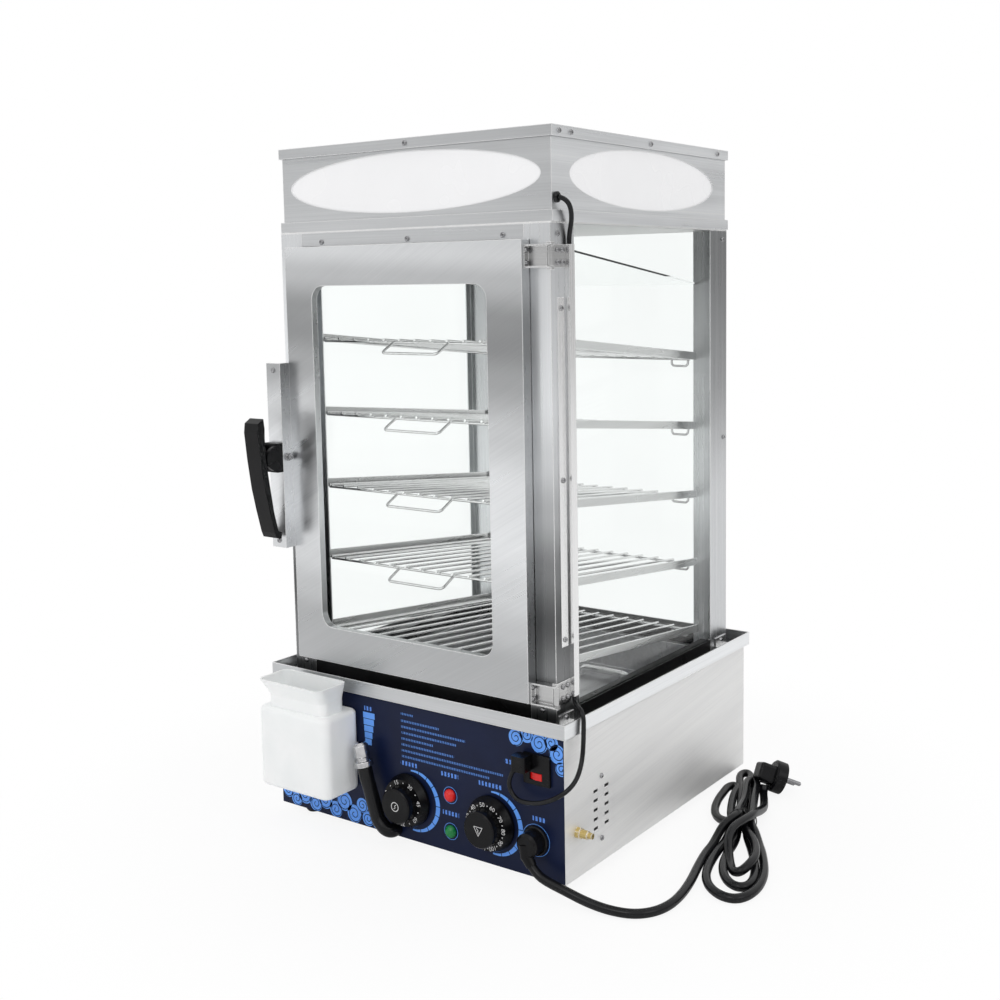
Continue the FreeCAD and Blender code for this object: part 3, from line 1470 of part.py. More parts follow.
def build():
    """Every node of the model by name."""
    parts = {
        "base_shell": base_shell(),
        "control_panel": control_panel(),
        "feet": feet(),
        "gutter_lip": gutter_lip(),
        "sill_frame": sill_frame(),
        "water_basin": water_basin(),
        "heating_element": heating_element(),
        "front_beam": front_beam(),
        "ceiling_plate": ceiling_plate(),
        "side_glass_left": side_glass(-1),
        "side_glass_right": side_glass(1),
        "rear_glass": rear_glass(),
        "post_fittings": post_fittings(),
        "rack_rails": rack_rails(),
        "drip_baffle": drip_baffle(),
        "door_frame": door_frame(),
        "door_glass": door_glass(),
        "hinge_post_leaves": group([hinge_post_leaf(z) for z in (bottom_hinge_z, top_hinge_z)]),
        "hinge_door_leaves": group([hinge_door_leaf(z) for z in (bottom_hinge_z, top_hinge_z)]),
        "handle_bracket": handle_bracket(),
        "handle_block": handle_block(),
        "handle_lever": handle_lever(),
        "canopy_tray": canopy_tray(),
        "canopy_shell": canopy_shell(),
        "canopy_lid": canopy_lid(),
        "canopy_diffusers": canopy_diffusers(),
        "canopy_lamp": canopy_lamp(),
        "red_lamp": panel_lamp(red_lamp_z),
        "green_lamp": panel_lamp(green_lamp_z),
        "switch_housing": switch_housing(),
        "switch_rocker": switch_rocker(),
        "lamp_plug": lamp_plug(),
        "lamp_lead": lamp_lead(),
        "lead_grommet": lead_grommet(),
        "power_inlet": power_inlet(),
        "power_cord": cord_tube("power_cord", cord_route, cord_radius),
        "cord_hank": cord_hank(),
        "cord_tie": cord_tie(),
        "plug_lead": plug_lead(),
        "plug_body": plug_body(),
        "plug_pins": plug_pins(),
        "drain_hose": drain_hose(),
        "drain_cap": drain_cap(),
        "water_cup": water_cup(),
        "side_valve": side_valve(),
        "cabinet_screws": cabinet_screws(),
        "door_screws": door_screws(),
    }
    for name, x in (("timer", timer_x), ("thermostat", thermostat_x)):
        parts[name + "_body"] = dial_body(x)
        parts[name + "_knob"] = dial_knob(x)
    for side, side_name in ((-1, "left"), (1, "right")):
        for front, front_name in ((True, "front"), (False, "rear")):
            parts["post_" + front_name + "_" + side_name] = post(side, front)
    for index in range(rack_count):
        parts["rack_" + str(index + 1)] = wire_rack(index)
    return parts


os.makedirs("parts", exist_ok=True)
for node, shape in build().items():
    shape.exportStep(os.path.join("parts", node + ".step"))
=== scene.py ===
import bpy
import math
from mathutils import Matrix, Vector


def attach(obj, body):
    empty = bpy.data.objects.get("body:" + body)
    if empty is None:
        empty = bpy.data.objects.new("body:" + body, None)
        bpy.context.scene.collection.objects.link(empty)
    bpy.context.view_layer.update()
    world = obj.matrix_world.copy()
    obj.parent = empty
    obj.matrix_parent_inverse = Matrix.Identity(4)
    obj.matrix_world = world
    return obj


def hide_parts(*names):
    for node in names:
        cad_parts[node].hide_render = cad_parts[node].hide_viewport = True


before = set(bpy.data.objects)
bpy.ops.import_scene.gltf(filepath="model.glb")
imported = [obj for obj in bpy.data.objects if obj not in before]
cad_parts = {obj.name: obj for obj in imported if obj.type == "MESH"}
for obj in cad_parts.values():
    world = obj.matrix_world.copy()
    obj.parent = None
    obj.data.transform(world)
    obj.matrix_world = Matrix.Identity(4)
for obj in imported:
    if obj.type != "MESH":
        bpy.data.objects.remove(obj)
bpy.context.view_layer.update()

# Heated food display: looks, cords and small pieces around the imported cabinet.
# Sizes are in millimetres in this file and become metres in at() and mm().


def mm(value):
    """Millimetres as metres."""
    return value / 1000.0


def at(x, y, z):
    """A place given in millimetres."""
    return Vector((mm(x), mm(y), mm(z)))


def deselect():
    """Leave edit mode, with nothing selected."""
    if bpy.context.object and bpy.context.object.mode != "OBJECT":
        bpy.ops.object.mode_set(mode="OBJECT")
    bpy.ops.object.select_all(action="DESELECT")


def pick(piece):
    """Make the piece the only one selected."""
    deselect()
    piece.select_set(True)
    bpy.context.view_layer.objects.active = piece


def select_vertices(piece, wanted):
    """Go into edit mode with only the vertices selected whose place is wanted."""
    pick(piece)
    bpy.ops.object.mode_set(mode="EDIT")
    bpy.ops.mesh.select_mode(type="VERT")
    bpy.ops.mesh.select_all(action="DESELECT")
    bpy.ops.object.mode_set(mode="OBJECT")
    for vertex in piece.data.vertices:
        vertex.select = wanted(vertex.co)
    bpy.ops.object.mode_set(mode="EDIT")


def settle(piece):
    """Move the piece's place into its mesh."""
    pick(piece)
    bpy.ops.object.transform_apply(location=True, rotation=True, scale=True)


def finish_piece(piece, body, paint):
    """Give a new piece its material and its slot, and let it ride on its body."""
    piece.data.materials.clear()
    piece.data.materials.append(paint)
    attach(piece, body)
    return piece


# Camera

def studio_camera():
    """The photograph's camera: to the right of the door, at four fifths of the cabinet's height."""
    turn, rise, roll = math.radians(35.06), math.radians(6.58), math.radians(-0.85)
    eye = Vector((0.85915, -1.17453, 0.58359))
    level = Vector((math.sin(turn), -math.cos(turn), 0))
    back = level * math.cos(rise) + Vector((0, 0, math.sin(rise)))
    right = Vector((math.cos(turn), math.sin(turn), 0))
    up = back.cross(right)
    across = right * math.cos(roll) + up * math.sin(roll)
    upright = up * math.cos(roll) - right * math.sin(roll)
    data = bpy.data.cameras.new("studio_camera")
    data.sensor_width = 36.0
    data.lens = 47.07
    data.shift_x = -0.04014
    data.shift_y = -0.06843
    data.clip_start = 0.05
    camera = bpy.data.objects.new("studio_camera", data)
    bpy.context.scene.collection.objects.link(camera)
    facing = Matrix((across, upright, back)).transposed()
    camera.matrix_world = Matrix.Translation(eye) @ facing.to_4x4()
    bpy.context.scene.camera = camera


# Node groups

# The colour sockets of a mix node: its two inputs and its output.
colour_a, colour_b, colour_out = 6, 7, 2


def add_node(tree, kind, place, values=None, **settings):
    """A node at its place, with its settings and the values of its inputs."""
    made = tree.nodes.new(kind)
    made.location = place
    for key, value in settings.items():
        setattr(made, key, value)
    for key, value in (values or {}).items():
        made.inputs[key].default_value = value
    return made


def link(tree, *pairs):
    """Join the output to the input of each pair."""
    for output, target in pairs:
        tree.links.new(output, target)


def spread(tree, place, value, source, target=(0.0, 1.0), **settings):
    """The value carried from the source range to the target range."""
    made = add_node(tree, "ShaderNodeMapRange", place, {
        "From Min": source[0], "From Max": source[1],
        "To Min": target[0], "To Max": target[1]}, **settings)
    link(tree, (value, made.inputs["Value"]))
    return made.outputs["Result"]


def ramped(tree, place, value, stops, interpolation="LINEAR"):
    """A colour by the value, from (position, colour) stops."""
    made = add_node(tree, "ShaderNodeValToRGB", place)
    made.color_ramp.interpolation = interpolation
    elements = made.color_ramp.elements
    while len(elements) < len(stops):
        elements.new(0.5)
    for element, (position, colour) in zip(elements, stops):
        element.position = position
        element.color = (*colour, 1)
    link(tree, (value, made.inputs["Fac"]))
    return made.outputs["Color"]


def multiplied(tree, place, colour, factor):
    """The colour times the factor."""
    made = add_node(tree, "ShaderNodeMix", place, {"Factor": 1.0}, data_type="RGBA",
                    blend_type="MULTIPLY")
    link(tree, (colour, made.inputs[colour_a]), (factor, made.inputs[colour_b]))
    return made.outputs[colour_out]


def new_group(name, inputs, outputs):
    """An empty shader group with the sockets of its two ends. An input of None is a vector."""
    tree = bpy.data.node_groups.new(name, "ShaderNodeTree")
    for label, value in inputs:
        kind = "NodeSocketVector" if value is None else "NodeSocketFloat"
        socket = tree.interface.new_socket(name=label, in_out="INPUT", socket_type=kind)
        if value is not None:
            socket.default_value = value
    for label in outputs:
        tree.interface.new_socket(name=label, in_out="OUTPUT", socket_type="NodeSocketFloat")
    source = add_node(tree, "NodeGroupInput", (-800, 0))
    sink = add_node(tree, "NodeGroupOutput", (700, 0))
    return tree, source.outputs, sink.inputs


def brushed_grain_group():
    """Fine streaks, broad streaks and hand smudges of brushed sheet."""
    tree, source, sink = new_group(
        "brushed_grain", [("Streak Vector", None), ("Plain Vector", None), ("Smudge Scale", 7.0)],
        ["Fine", "Broad", "Smudge"])
    fine = add_node(tree, "ShaderNodeTexNoise", (-500, 250),
                    {"Scale": 1.0, "Detail": 5.0, "Roughness": 0.7})
    slow = add_node(tree, "ShaderNodeVectorMath", (-650, 0), {1: (0.6, 0.6, 0.11)},
                    operation="MULTIPLY")
    broad = add_node(tree, "ShaderNodeTexNoise", (-450, 0), {"Scale": 1.0, "Detail": 3.0})
    smudge = add_node(tree, "ShaderNodeTexNoise", (-450, -260), {"Detail": 4.0, "Roughness": 0.55})
    soft = spread(tree, (-150, -260), smudge.outputs["Fac"], (0.42, 0.72),
                  interpolation_type="SMOOTHSTEP")
    link(tree,
         (source["Streak Vector"], fine.inputs["Vector"]),
         (source["Streak Vector"], slow.inputs[0]),
         (slow.outputs["Vector"], broad.inputs["Vector"]),
         (source["Plain Vector"], smudge.inputs["Vector"]),
         (source["Smudge Scale"], smudge.inputs["Scale"]),
         (fine.outputs["Fac"], sink["Fine"]),
         (broad.outputs["Fac"], sink["Broad"]),
         (soft, sink["Smudge"]))
    return tree


def moulded_skin_group():
    """The spark texture and faint flow marks of moulded plastic and rubber."""
    tree, source, sink = new_group(
        "moulded_skin", [("Vector", None), ("Grain Scale", 900.0), ("Flow Scale", 25.0)],
        ["Grain", "Flow"])
    grain = add_node(tree, "ShaderNodeTexNoise", (-450, 250), {"Detail": 2.0})
    flow = add_node(tree, "ShaderNodeTexNoise", (-450, 0), {"Detail": 3.0, "Distortion": 0.4})
    link(tree,
         (source["Vector"], grain.inputs["Vector"]),
         (source["Vector"], flow.inputs["Vector"]),
         (source["Grain Scale"], grain.inputs["Scale"]),
         (source["Flow Scale"], flow.inputs["Scale"]),
         (grain.outputs["Fac"], sink["Grain"]),
         (flow.outputs["Fac"], sink["Flow"]))
    return tree


# Materials

# How deep the finest surface grain is, in metres.
grain_relief = 0.0002


def new_material(name):
    """A material with its tree, its shader and the object coordinates."""
    material = bpy.data.materials.new(name)
    material.use_nodes = True
    tree = material.node_tree
    shader = tree.nodes["Principled BSDF"]
    shader.location = (500, 0)
    tree.nodes["Material Output"].location = (850, 0)
    place = add_node(tree, "ShaderNodeTexCoord", (-1200, 0))
    return material, tree, shader, place.outputs["Object"]


def mapped(tree, vector, place, scale, turn=(0, 0, 0)):
    """Coordinates turned first and scaled afterwards, so that the streaks keep their direction."""
    mapping = add_node(tree, "ShaderNodeMapping", place, {
        "Rotation": [math.radians(angle) for angle in turn],
        "Scale": [1 / value for value in scale]}, vector_type="TEXTURE")
    link(tree, (vector, mapping.inputs["Vector"]))
    return mapping.outputs["Vector"]


def ranged(tree, value, place, low, high):
    """A noise value spread from low to high."""
    return spread(tree, place, value, (0.3, 0.7), (low, high))


def tinted(tree, value, place, dark, light):
    """A colour between dark and light by a noise value."""
    return ramped(tree, place, value, ((0.3, dark), (0.7, light)))


def bumped(tree, shader, height, strength, edge=0.0):
    """Surface relief, with the folded edges rounded in the shading where edge is given."""
    bump = add_node(tree, "ShaderNodeBump", (250, -350),
                    {"Strength": strength, "Distance": grain_relief})
    if edge:
        fold = add_node(tree, "ShaderNodeBevel", (0, -450), {"Radius": mm(edge)}, samples=4)
        link(tree, (fold.outputs["Normal"], bump.inputs["Normal"]))
    link(tree, (height, bump.inputs["Height"]), (bump.outputs["Normal"], shader.inputs["Normal"]))


def banded(tree, place, colour, stops, lean, side):
    """The colour in broad (height, factor) bands of painted reflection and shade up the piece, and
    lightened by side on what faces right as painted light.
    """
    low, high = stops[0][0], stops[-1][0]
    height = add_node(tree, "ShaderNodeVectorMath", (-650, 500), {1: (lean, 0, 1)},
                      operation="DOT_PRODUCT")
    share = spread(tree, (-450, 500), height.outputs["Value"], (mm(low), mm(high)))
    bands = ramped(tree, (-250, 500), share, [
        ((level - low) / (high - low), (factor, factor, factor)) for level, factor in stops], "EASE")
    facing = add_node(tree, "ShaderNodeNewGeometry", (-650, 750))
    split = add_node(tree, "ShaderNodeSeparateXYZ", (-450, 750))
    # Faces that look right are lightened by the side factor: painted light.
    right = spread(tree, (-250, 750), split.outputs["X"], (0.5, 1.0), (1.0, side))
    link(tree, (place, height.inputs[0]), (facing.outputs["Normal"], split.inputs["Vector"]))
    return multiplied(tree, (200, 500), multiplied(tree, (0, 500), colour, bands), right)


def edge_lit(tree, colour, width):
    """The colour lifted to near white along the folded edges: a painted highlight."""
    fold = add_node(tree, "ShaderNodeBevel", (-650, 1000), {"Radius": mm(width)}, samples=6)
    flat = add_node(tree, "ShaderNodeNewGeometry", (-650, 1200))
    match = add_node(tree, "ShaderNodeVectorMath", (-450, 1000), operation="DOT_PRODUCT")
    edge = spread(tree, (-250, 1000), match.outputs["Value"], (0.995, 0.93))
    light = add_node(tree, "ShaderNodeMix", (350, 700), {colour_b: (0.98, 0.98, 0.98, 1)},
                     data_type="RGBA")
    link(tree,
         (fold.outputs["Normal"], match.inputs[0]),
         (flat.outputs["Normal"], match.inputs[1]),
         (edge, light.inputs["Factor"]),
         (colour, light.inputs[colour_a]))
    return light.outputs[colour_out]


def brushed_steel(name, grain, dark, light, streak_scale, turn=(0, 0, 0), rough=(0.24, 0.38),
                  grain_depth=0.12, edge=0.9, bands=((0, 1), (1000, 1)), lean=0.0, side=1.0,
                  metal=1.0):
    """Brushed sheet metal whose streaks run along the axes with a small streak scale, with painted
    reflection bands, painted light on faces to the right and painted highlights on folded edges.
    """
    material, tree, shader, place = new_material(name)
    brush = add_node(tree, "ShaderNodeGroup", (-650, 100), {"Smudge Scale": 6.0}, node_tree=grain)
    blend = add_node(tree, "ShaderNodeMix", (-350, 200), {"Factor": 0.45}, data_type="FLOAT")
    smear = add_node(tree, "ShaderNodeMath", (-350, -60), {1: 0.25}, operation="MULTIPLY_ADD")
    link(tree,
         (mapped(tree, place, (-950, 200), streak_scale, turn), brush.inputs["Streak Vector"]),
         (place, brush.inputs["Plain Vector"]),
         (brush.outputs["Fine"], blend.inputs[2]),
         (brush.outputs["Broad"], blend.inputs[3]),
         (brush.outputs["Smudge"], smear.inputs[0]),
         (brush.outputs["Broad"], smear.inputs[2]))
    colour = tinted(tree, blend.outputs[0], (-50, 250), dark, light)
    # Painted reflection and shade in height bands, and painted light on faces to the right.
    colour = banded(tree, place, colour, bands, lean, side)
    # The folded edges get a painted highlight as wide as 1.3 times edge.
    link(tree,
         (edge_lit(tree, colour, 1.3 * edge), shader.inputs["Base Color"]),
         (ranged(tree, smear.outputs["Value"], (-50, -60), *rough), shader.inputs["Roughness"]))
    shader.inputs["Metallic"].default_value = metal
    bumped(tree, shader, brush.outputs["Fine"], grain_depth, edge)
    return material


def moulded(name, skin, dark, light, rough, grain_depth, grain_scale, shine=0.5):
    """Moulded plastic, rubber or lacquer with a fine skin."""
    material, tree, shader, place = new_material(name)
    surface = add_node(tree, "ShaderNodeGroup", (-650, 100), {"Grain Scale": grain_scale},
                       node_tree=skin)
    flow = surface.outputs["Flow"]
    link(tree,
         (place, surface.inputs["Vector"]),
         (tinted(tree, flow, (-50, 250), dark, light), shader.inputs["Base Color"]),
         (ranged(tree, flow, (-50, -60), *rough), shader.inputs["Roughness"]))
    shader.inputs["Specular IOR Level"].default_value = shine
    bumped(tree, shader, surface.outputs["Grain"], grain_depth)
    return material


def clear_glass(name, tint, roughness):
    """Float glass with a faint film of vapour and finger marks."""
    material, tree, shader, place = new_material(name)
    haze = add_node(tree, "ShaderNodeTexNoise", (-700, 0), {"Scale": 5.0, "Detail": 5.0})
    film = haze.outputs["Fac"]
    pale = tuple(min(1, channel + 0.02) for channel in tint)
    link(tree,
         (place, haze.inputs["Vector"]),
         (ranged(tree, film, (-50, -60), roughness, roughness + 0.03), shader.inputs["Roughness"]),
         (tinted(tree, film, (-50, 250), tint, pale), shader.inputs["Base Color"]))
    shader.inputs["Transmission Weight"].default_value = 1.0
    shader.inputs["IOR"].default_value = 1.2
    return material


def glowing(name, dark, light, glow, strength):
    """A lit plastic face: opal canopy plates, the tube and the signal lamps."""
    material, tree, shader, place = new_material(name)
    cloud = add_node(tree, "ShaderNodeTexNoise", (-700, 0), {"Scale": 12.0})
    haze = cloud.outputs["Fac"]
    link(tree,
         (place, cloud.inputs["Vector"]),
         (tinted(tree, haze, (-50, 250), dark, light), shader.inputs["Base Color"]),
         (tinted(tree, haze, (-50, -250), glow, light), shader.inputs["Emission Color"]),
         (ranged(tree, haze, (-50, -60), 0.22, 0.3), shader.inputs["Roughness"]))
    shader.inputs["Emission Strength"].default_value = strength
    return material


def greeked_print(name, colour, height, density):
    """Rows of small dashes that stand where lettering would be."""
    material, tree, shader, place = new_material(name)
    cells = mapped(tree, place, (-950, 100), (1000 / height, 1, 1000 / height))
    strokes = add_node(tree, "ShaderNodeTexNoise", (-700, 200), {"Scale": 3.1, "Detail": 1.0})
    gaps = add_node(tree, "ShaderNodeTexWave", (-700, -60), {"Scale": 0.32, "Distortion": 0.4},
                    bands_direction="X")
    both = add_node(tree, "ShaderNodeMath", (-450, 100), operation="MULTIPLY")
    inked = spread(tree, (-200, 100), both.outputs["Value"], (density, density + 0.06))
    dark = tuple(channel * 0.85 for channel in colour)
    link(tree,
         (cells, strokes.inputs["Vector"]),
         (cells, gaps.inputs["Vector"]),
         (strokes.outputs["Fac"], both.inputs[0]),
         (gaps.outputs["Fac"], both.inputs[1]),
         (inked, shader.inputs["Alpha"]),
         (tinted(tree, strokes.outputs["Fac"], (-50, 350), dark, colour),
          shader.inputs["Base Color"]))
    shader.inputs["Roughness"].default_value = 0.4
    return material


# Broad bands of painted reflection and shade as (height, factor), up the front posts, the rear posts and
# the door.
post_reflection_bands = ((161, 0.5), (206, 0.42), (259, 0.2), (312, 0.44), (365, 0.87), (418, 1.25),
              (471, 1.5), (524, 1.5), (577, 1.45), (630, 1.3))
rear_reflection_bands = ((160, 1.25), (330, 1.3), (480, 0.8), (630, 0.6))
door_reflection_bands = ((150, 0.85), (225, 0.78), (255, 0.95), (291, 1.15), (342, 1.36), (393, 1.3),
              (444, 1.0), (495, 0.66), (528, 0.5), (553, 0.54), (590, 0.9), (615, 1.2), (640, 1.15))

# Each steel's dark and light colour and its streak scale, and what differs from plain sheet.
steels = {
    # The canopy's faces towards the right are lightened half again: painted light.
    "canopy_steel": ((0.54, 0.55, 0.56), (0.68, 0.69, 0.70), (5, 5, 700), dict(side=1.5)),
    "post_steel": ((0.50, 0.51, 0.52), (0.58, 0.59, 0.60), (600, 600, 5),
                   dict(rough=(0.24, 0.34), bands=post_reflection_bands)),
    "rear_steel": ((0.46, 0.47, 0.48), (0.60, 0.61, 0.62), (600, 600, 5),
                   dict(rough=(0.24, 0.34), bands=rear_reflection_bands)),
    "duct_steel": ((0.82, 0.82, 0.82), (0.96, 0.96, 0.96), (600, 600, 5), dict(rough=(0.2, 0.3))),
    "door_steel": ((0.57, 0.58, 0.59), (0.67, 0.68, 0.69), (5, 300, 700),
                   dict(turn=(0, -30, 0), bands=door_reflection_bands, lean=0.05)),
    "base_steel": ((0.80, 0.80, 0.80), (0.94, 0.94, 0.93), (300, 6, 600),
                   dict(turn=(6, 0, 0), rough=(0.42, 0.52), metal=0.55)),
    "hinge_steel": ((0.50, 0.50, 0.50), (0.62, 0.62, 0.62), (5, 5, 500),
                    dict(rough=(0.24, 0.3), grain_depth=0.04)),
    "pin_steel": ((0.20, 0.20, 0.21), (0.32, 0.32, 0.33), (300, 300, 300),
                  dict(rough=(0.2, 0.3), edge=0.3)),
    "rail_steel": ((0.50, 0.50, 0.50), (0.68, 0.68, 0.68), (400, 6, 900), dict(rough=(0.2, 0.34))),
    "basin_steel": ((0.45, 0.45, 0.46), (0.65, 0.65, 0.66), (300, 20, 300),
                    dict(rough=(0.25, 0.4))),
    "bright_wire": ((0.62, 0.62, 0.62), (0.82, 0.82, 0.82), (300, 40, 300),
                    dict(rough=(0.1, 0.2), grain_depth=0.04)),
    "screw_steel": ((0.16, 0.16, 0.17), (0.34, 0.34, 0.35), (500, 500, 500),
                    dict(rough=(0.1, 0.2), edge=0.4)),
    "polished_chrome": ((0.36, 0.36, 0.37), (0.66, 0.66, 0.67), (200, 200, 200),
                        dict(rough=(0.06, 0.14), grain_depth=0.03)),
    "turned_brass": ((0.55, 0.40, 0.14), (0.78, 0.62, 0.26), (20, 900, 900),
                     dict(rough=(0.16, 0.3))),
}

# Each plastic's dark and light colour, roughness, grain depth and grain scale, then its shine.
plastics = {
    "blue_film": ((0.0035, 0.0075, 0.032), (0.005, 0.011, 0.044), (0.3, 0.42), 0.08, 1200.0, 0.2),
    "black_sill": ((0.004, 0.004, 0.004), (0.010, 0.010, 0.011), (0.25, 0.4), 0.1, 500.0, 0.25),
    "black_plastic": ((0.0025, 0.0025, 0.003), (0.006, 0.006, 0.007), (0.2, 0.3), 0.12, 1100.0,
                      0.2),
    "cord_rubber": ((0.003, 0.0032, 0.004), (0.007, 0.0075, 0.009), (0.18, 0.28), 0.1, 1500.0, 0.3),
    "light_print": ((0.11, 0.34, 0.95), (0.14, 0.39, 1.0), (0.34, 0.44), 0.05, 900.0),
    "white_print": ((0.72, 0.72, 0.72), (0.85, 0.85, 0.85), (0.4, 0.5), 0.05, 900.0),
    "foot_rubber": ((0.010, 0.010, 0.010), (0.022, 0.022, 0.022), (0.55, 0.7), 0.3, 700.0),
    "cup_plastic": ((0.86, 0.88, 0.88), (0.93, 0.94, 0.94), (0.3, 0.42), 0.05, 400.0),
}

# Each lit face's dark and light colour, its glow and how strong that is.
lit_faces = {
    "opal_plate": ((0.84, 0.84, 0.85), (0.88, 0.88, 0.89), (1, 1, 1), 0.12),
    "lamp_tube": ((0.85, 0.85, 0.84), (0.9, 0.9, 0.9), (1, 1, 1), 0.6),
    "red_lens": ((0.50, 0.004, 0.004), (0.66, 0.012, 0.01), (1.0, 0.01, 0.01), 0.12),
    "green_lens": ((0.001, 0.12, 0.03), (0.004, 0.22, 0.05), (0.0, 0.3, 0.05), 0.08),
}


def make_materials():
    """Every finish by its name."""
    grain = brushed_grain_group()
    skin = moulded_skin_group()
    paints = {}
    for name, (dark, light, streak_scale, rest) in steels.items():
        paints[name] = brushed_steel(name, grain, dark, light, streak_scale, **rest)
    for name, look in plastics.items():
        paints[name] = moulded(name, skin, *look)
    for name, look in lit_faces.items():
        paints[name] = glowing(name, *look)
    paints["small_print"] = greeked_print("small_print", (0.09, 0.26, 0.75), 2.2, 0.22)
    paints["label_print"] = greeked_print("label_print", (0.10, 0.28, 0.85), 4.4, 0.17)
    paints["window_glass"] = clear_glass("window_glass", (0.965, 0.98, 0.975), 0.0)
    cup = paints["cup_plastic"].node_tree.nodes["Principled BSDF"].inputs
    cup["Subsurface Weight"].default_value = 0.6
    cup["Subsurface Radius"].default_value = (0.02, 0.02, 0.02)
    # A faint white glow lifts the whole cup, its shaded side too: painted light.
    cup["Emission Color"].default_value = (1, 1, 1, 1)
    cup["Emission Strength"].default_value = 0.06
    return paints


def paint_nodes(paints):
    """Every CAD node's finish."""
    finish = {
        "canopy_steel": ["canopy_tray", "canopy_shell", "canopy_lid", "gutter_lip", "front_beam"],
        "post_steel": ["post_front_right", "post_front_left"],
        "rear_steel": ["post_rear_right", "post_rear_left"],
        "duct_steel": ["post_fittings"],
        "door_steel": ["door_frame", "handle_bracket"],
        "base_steel": ["base_shell", "ceiling_plate"],
        "hinge_steel": ["hinge_post_leaves", "hinge_door_leaves"],
        "rail_steel": ["rack_rails"],
        "basin_steel": ["water_basin"],
        "bright_wire": ["rack_1", "rack_2", "rack_3", "rack_4", "rack_5", "heating_element"],
        "screw_steel": ["cabinet_screws", "door_screws"],
        "polished_chrome": ["drain_cap"],
        "pin_steel": ["plug_pins"],
        "turned_brass": ["side_valve"],
        "blue_film": ["control_panel"],
        "black_sill": ["sill_frame"],
        "black_plastic": ["timer_knob", "thermostat_knob", "timer_body", "thermostat_body",
                          "switch_housing", "lamp_plug", "power_inlet", "plug_body", "handle_block",
                          "handle_lever"],
        "cord_rubber": ["lead_grommet", "drain_hose"],
        "foot_rubber": ["feet"],
        "cup_plastic": ["water_cup"],
        "opal_plate": ["canopy_diffusers"],
        "lamp_tube": ["canopy_lamp"],
        "red_lens": ["red_lamp", "switch_rocker"],
        "green_lens": ["green_lamp"],
        "window_glass": ["side_glass_left", "side_glass_right", "rear_glass", "door_glass",
                         "drip_baffle"],
    }
    for paint, nodes in finish.items():
        for name in nodes:
            node = bpy.data.objects[name]
            node.data.materials.clear()
            node.data.materials.append(paints[paint])


# Cords

def round_line(name, points, radius, section, steps, capped=True):
    """A smooth round line with the (x, y, z) points as its control points."""
    data = bpy.data.curves.new(name, "CURVE")
    data.dimensions = "3D"
    data.bevel_depth = mm(radius)
    data.bevel_resolution = section
    data.use_fill_caps = capped
    data.resolution_u = steps
    spline = data.splines.new("NURBS")
    spline.points.add(len(points) - 1)
    for slot, point in zip(spline.points, points):
        slot.co = (*at(*point), 1.0)
    spline.order_u = 3
    spline.use_endpoint_u = True
    line = bpy.data.objects.new(name, data)
    bpy.context.scene.collection.objects.link(line)
    return line


def meshed(line):
    """The line made a mesh."""
    pick(line)
    bpy.ops.object.convert(target="MESH")
    return line


def cord_curve(name, points, radius, paint):
    """A cord of the cabinet, kept as a curve."""
    return finish_piece(round_line(name, points, radius, 5, 8), "cabinet", paint)


def light_lead(paints):
    """The thin lead from the light plug round the base corner and up the duct."""
    route = [
        (139.5, -203.0, 116.9), (133.9, -203.0, 107.1), (135.8, -203.0, 96.0), (144.5, -203.2, 88.7),
        (157.0, -203.6, 88.9), (170.0, -204.0, 91.5), (182.0, -204.3, 96.5), (192.5, -203.3, 102.5),
        (200.0, -197.8, 109.0), (202.0, -188.0, 115.2), (200.6, -178.0, 123.5), (199.2, -171.6, 134.5),
        (198.4, -168.8, 147.5), (198.3, -168.0, 160.0), (197.8, -167.2, 170.0), (193.0, -164.6, 176.2),
        (185.6, -158.6, 176.6), (177.0, -151.4, 178.2), (176.6, -151.0, 190.0), (176.6, -151.0, 617.5),
        (177.6, -151.1, 627.5), (180.8, -151.6, 640.0), (182.6, -156.2, 651.5), (181.2, -163.2, 658.4),
        (176.0, -165.6, 660.0),
    ]
    lead = cord_curve("light_lead", route, 2.3, paints["cord_rubber"])
    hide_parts("lamp_lead")


# The middle of the hank on the counter, and how far its length is turned from the X axis.
hank_x, hank_y, hank_turn = 262.0, 42.0, math.radians(114.2)


def hank_spot(along, across, z):
    """A point in the hank's own axes: along its length, across it and up."""
    # Near the tie the cord lies up to 14 mm further back than the loops are drawn.
    along -= 14 * math.exp(-(along / 55) ** 2)
    return (hank_x + along * math.cos(hank_turn) + across * math.sin(hank_turn),
            hank_y + along * math.sin(hank_turn) - across * math.cos(hank_turn), z)


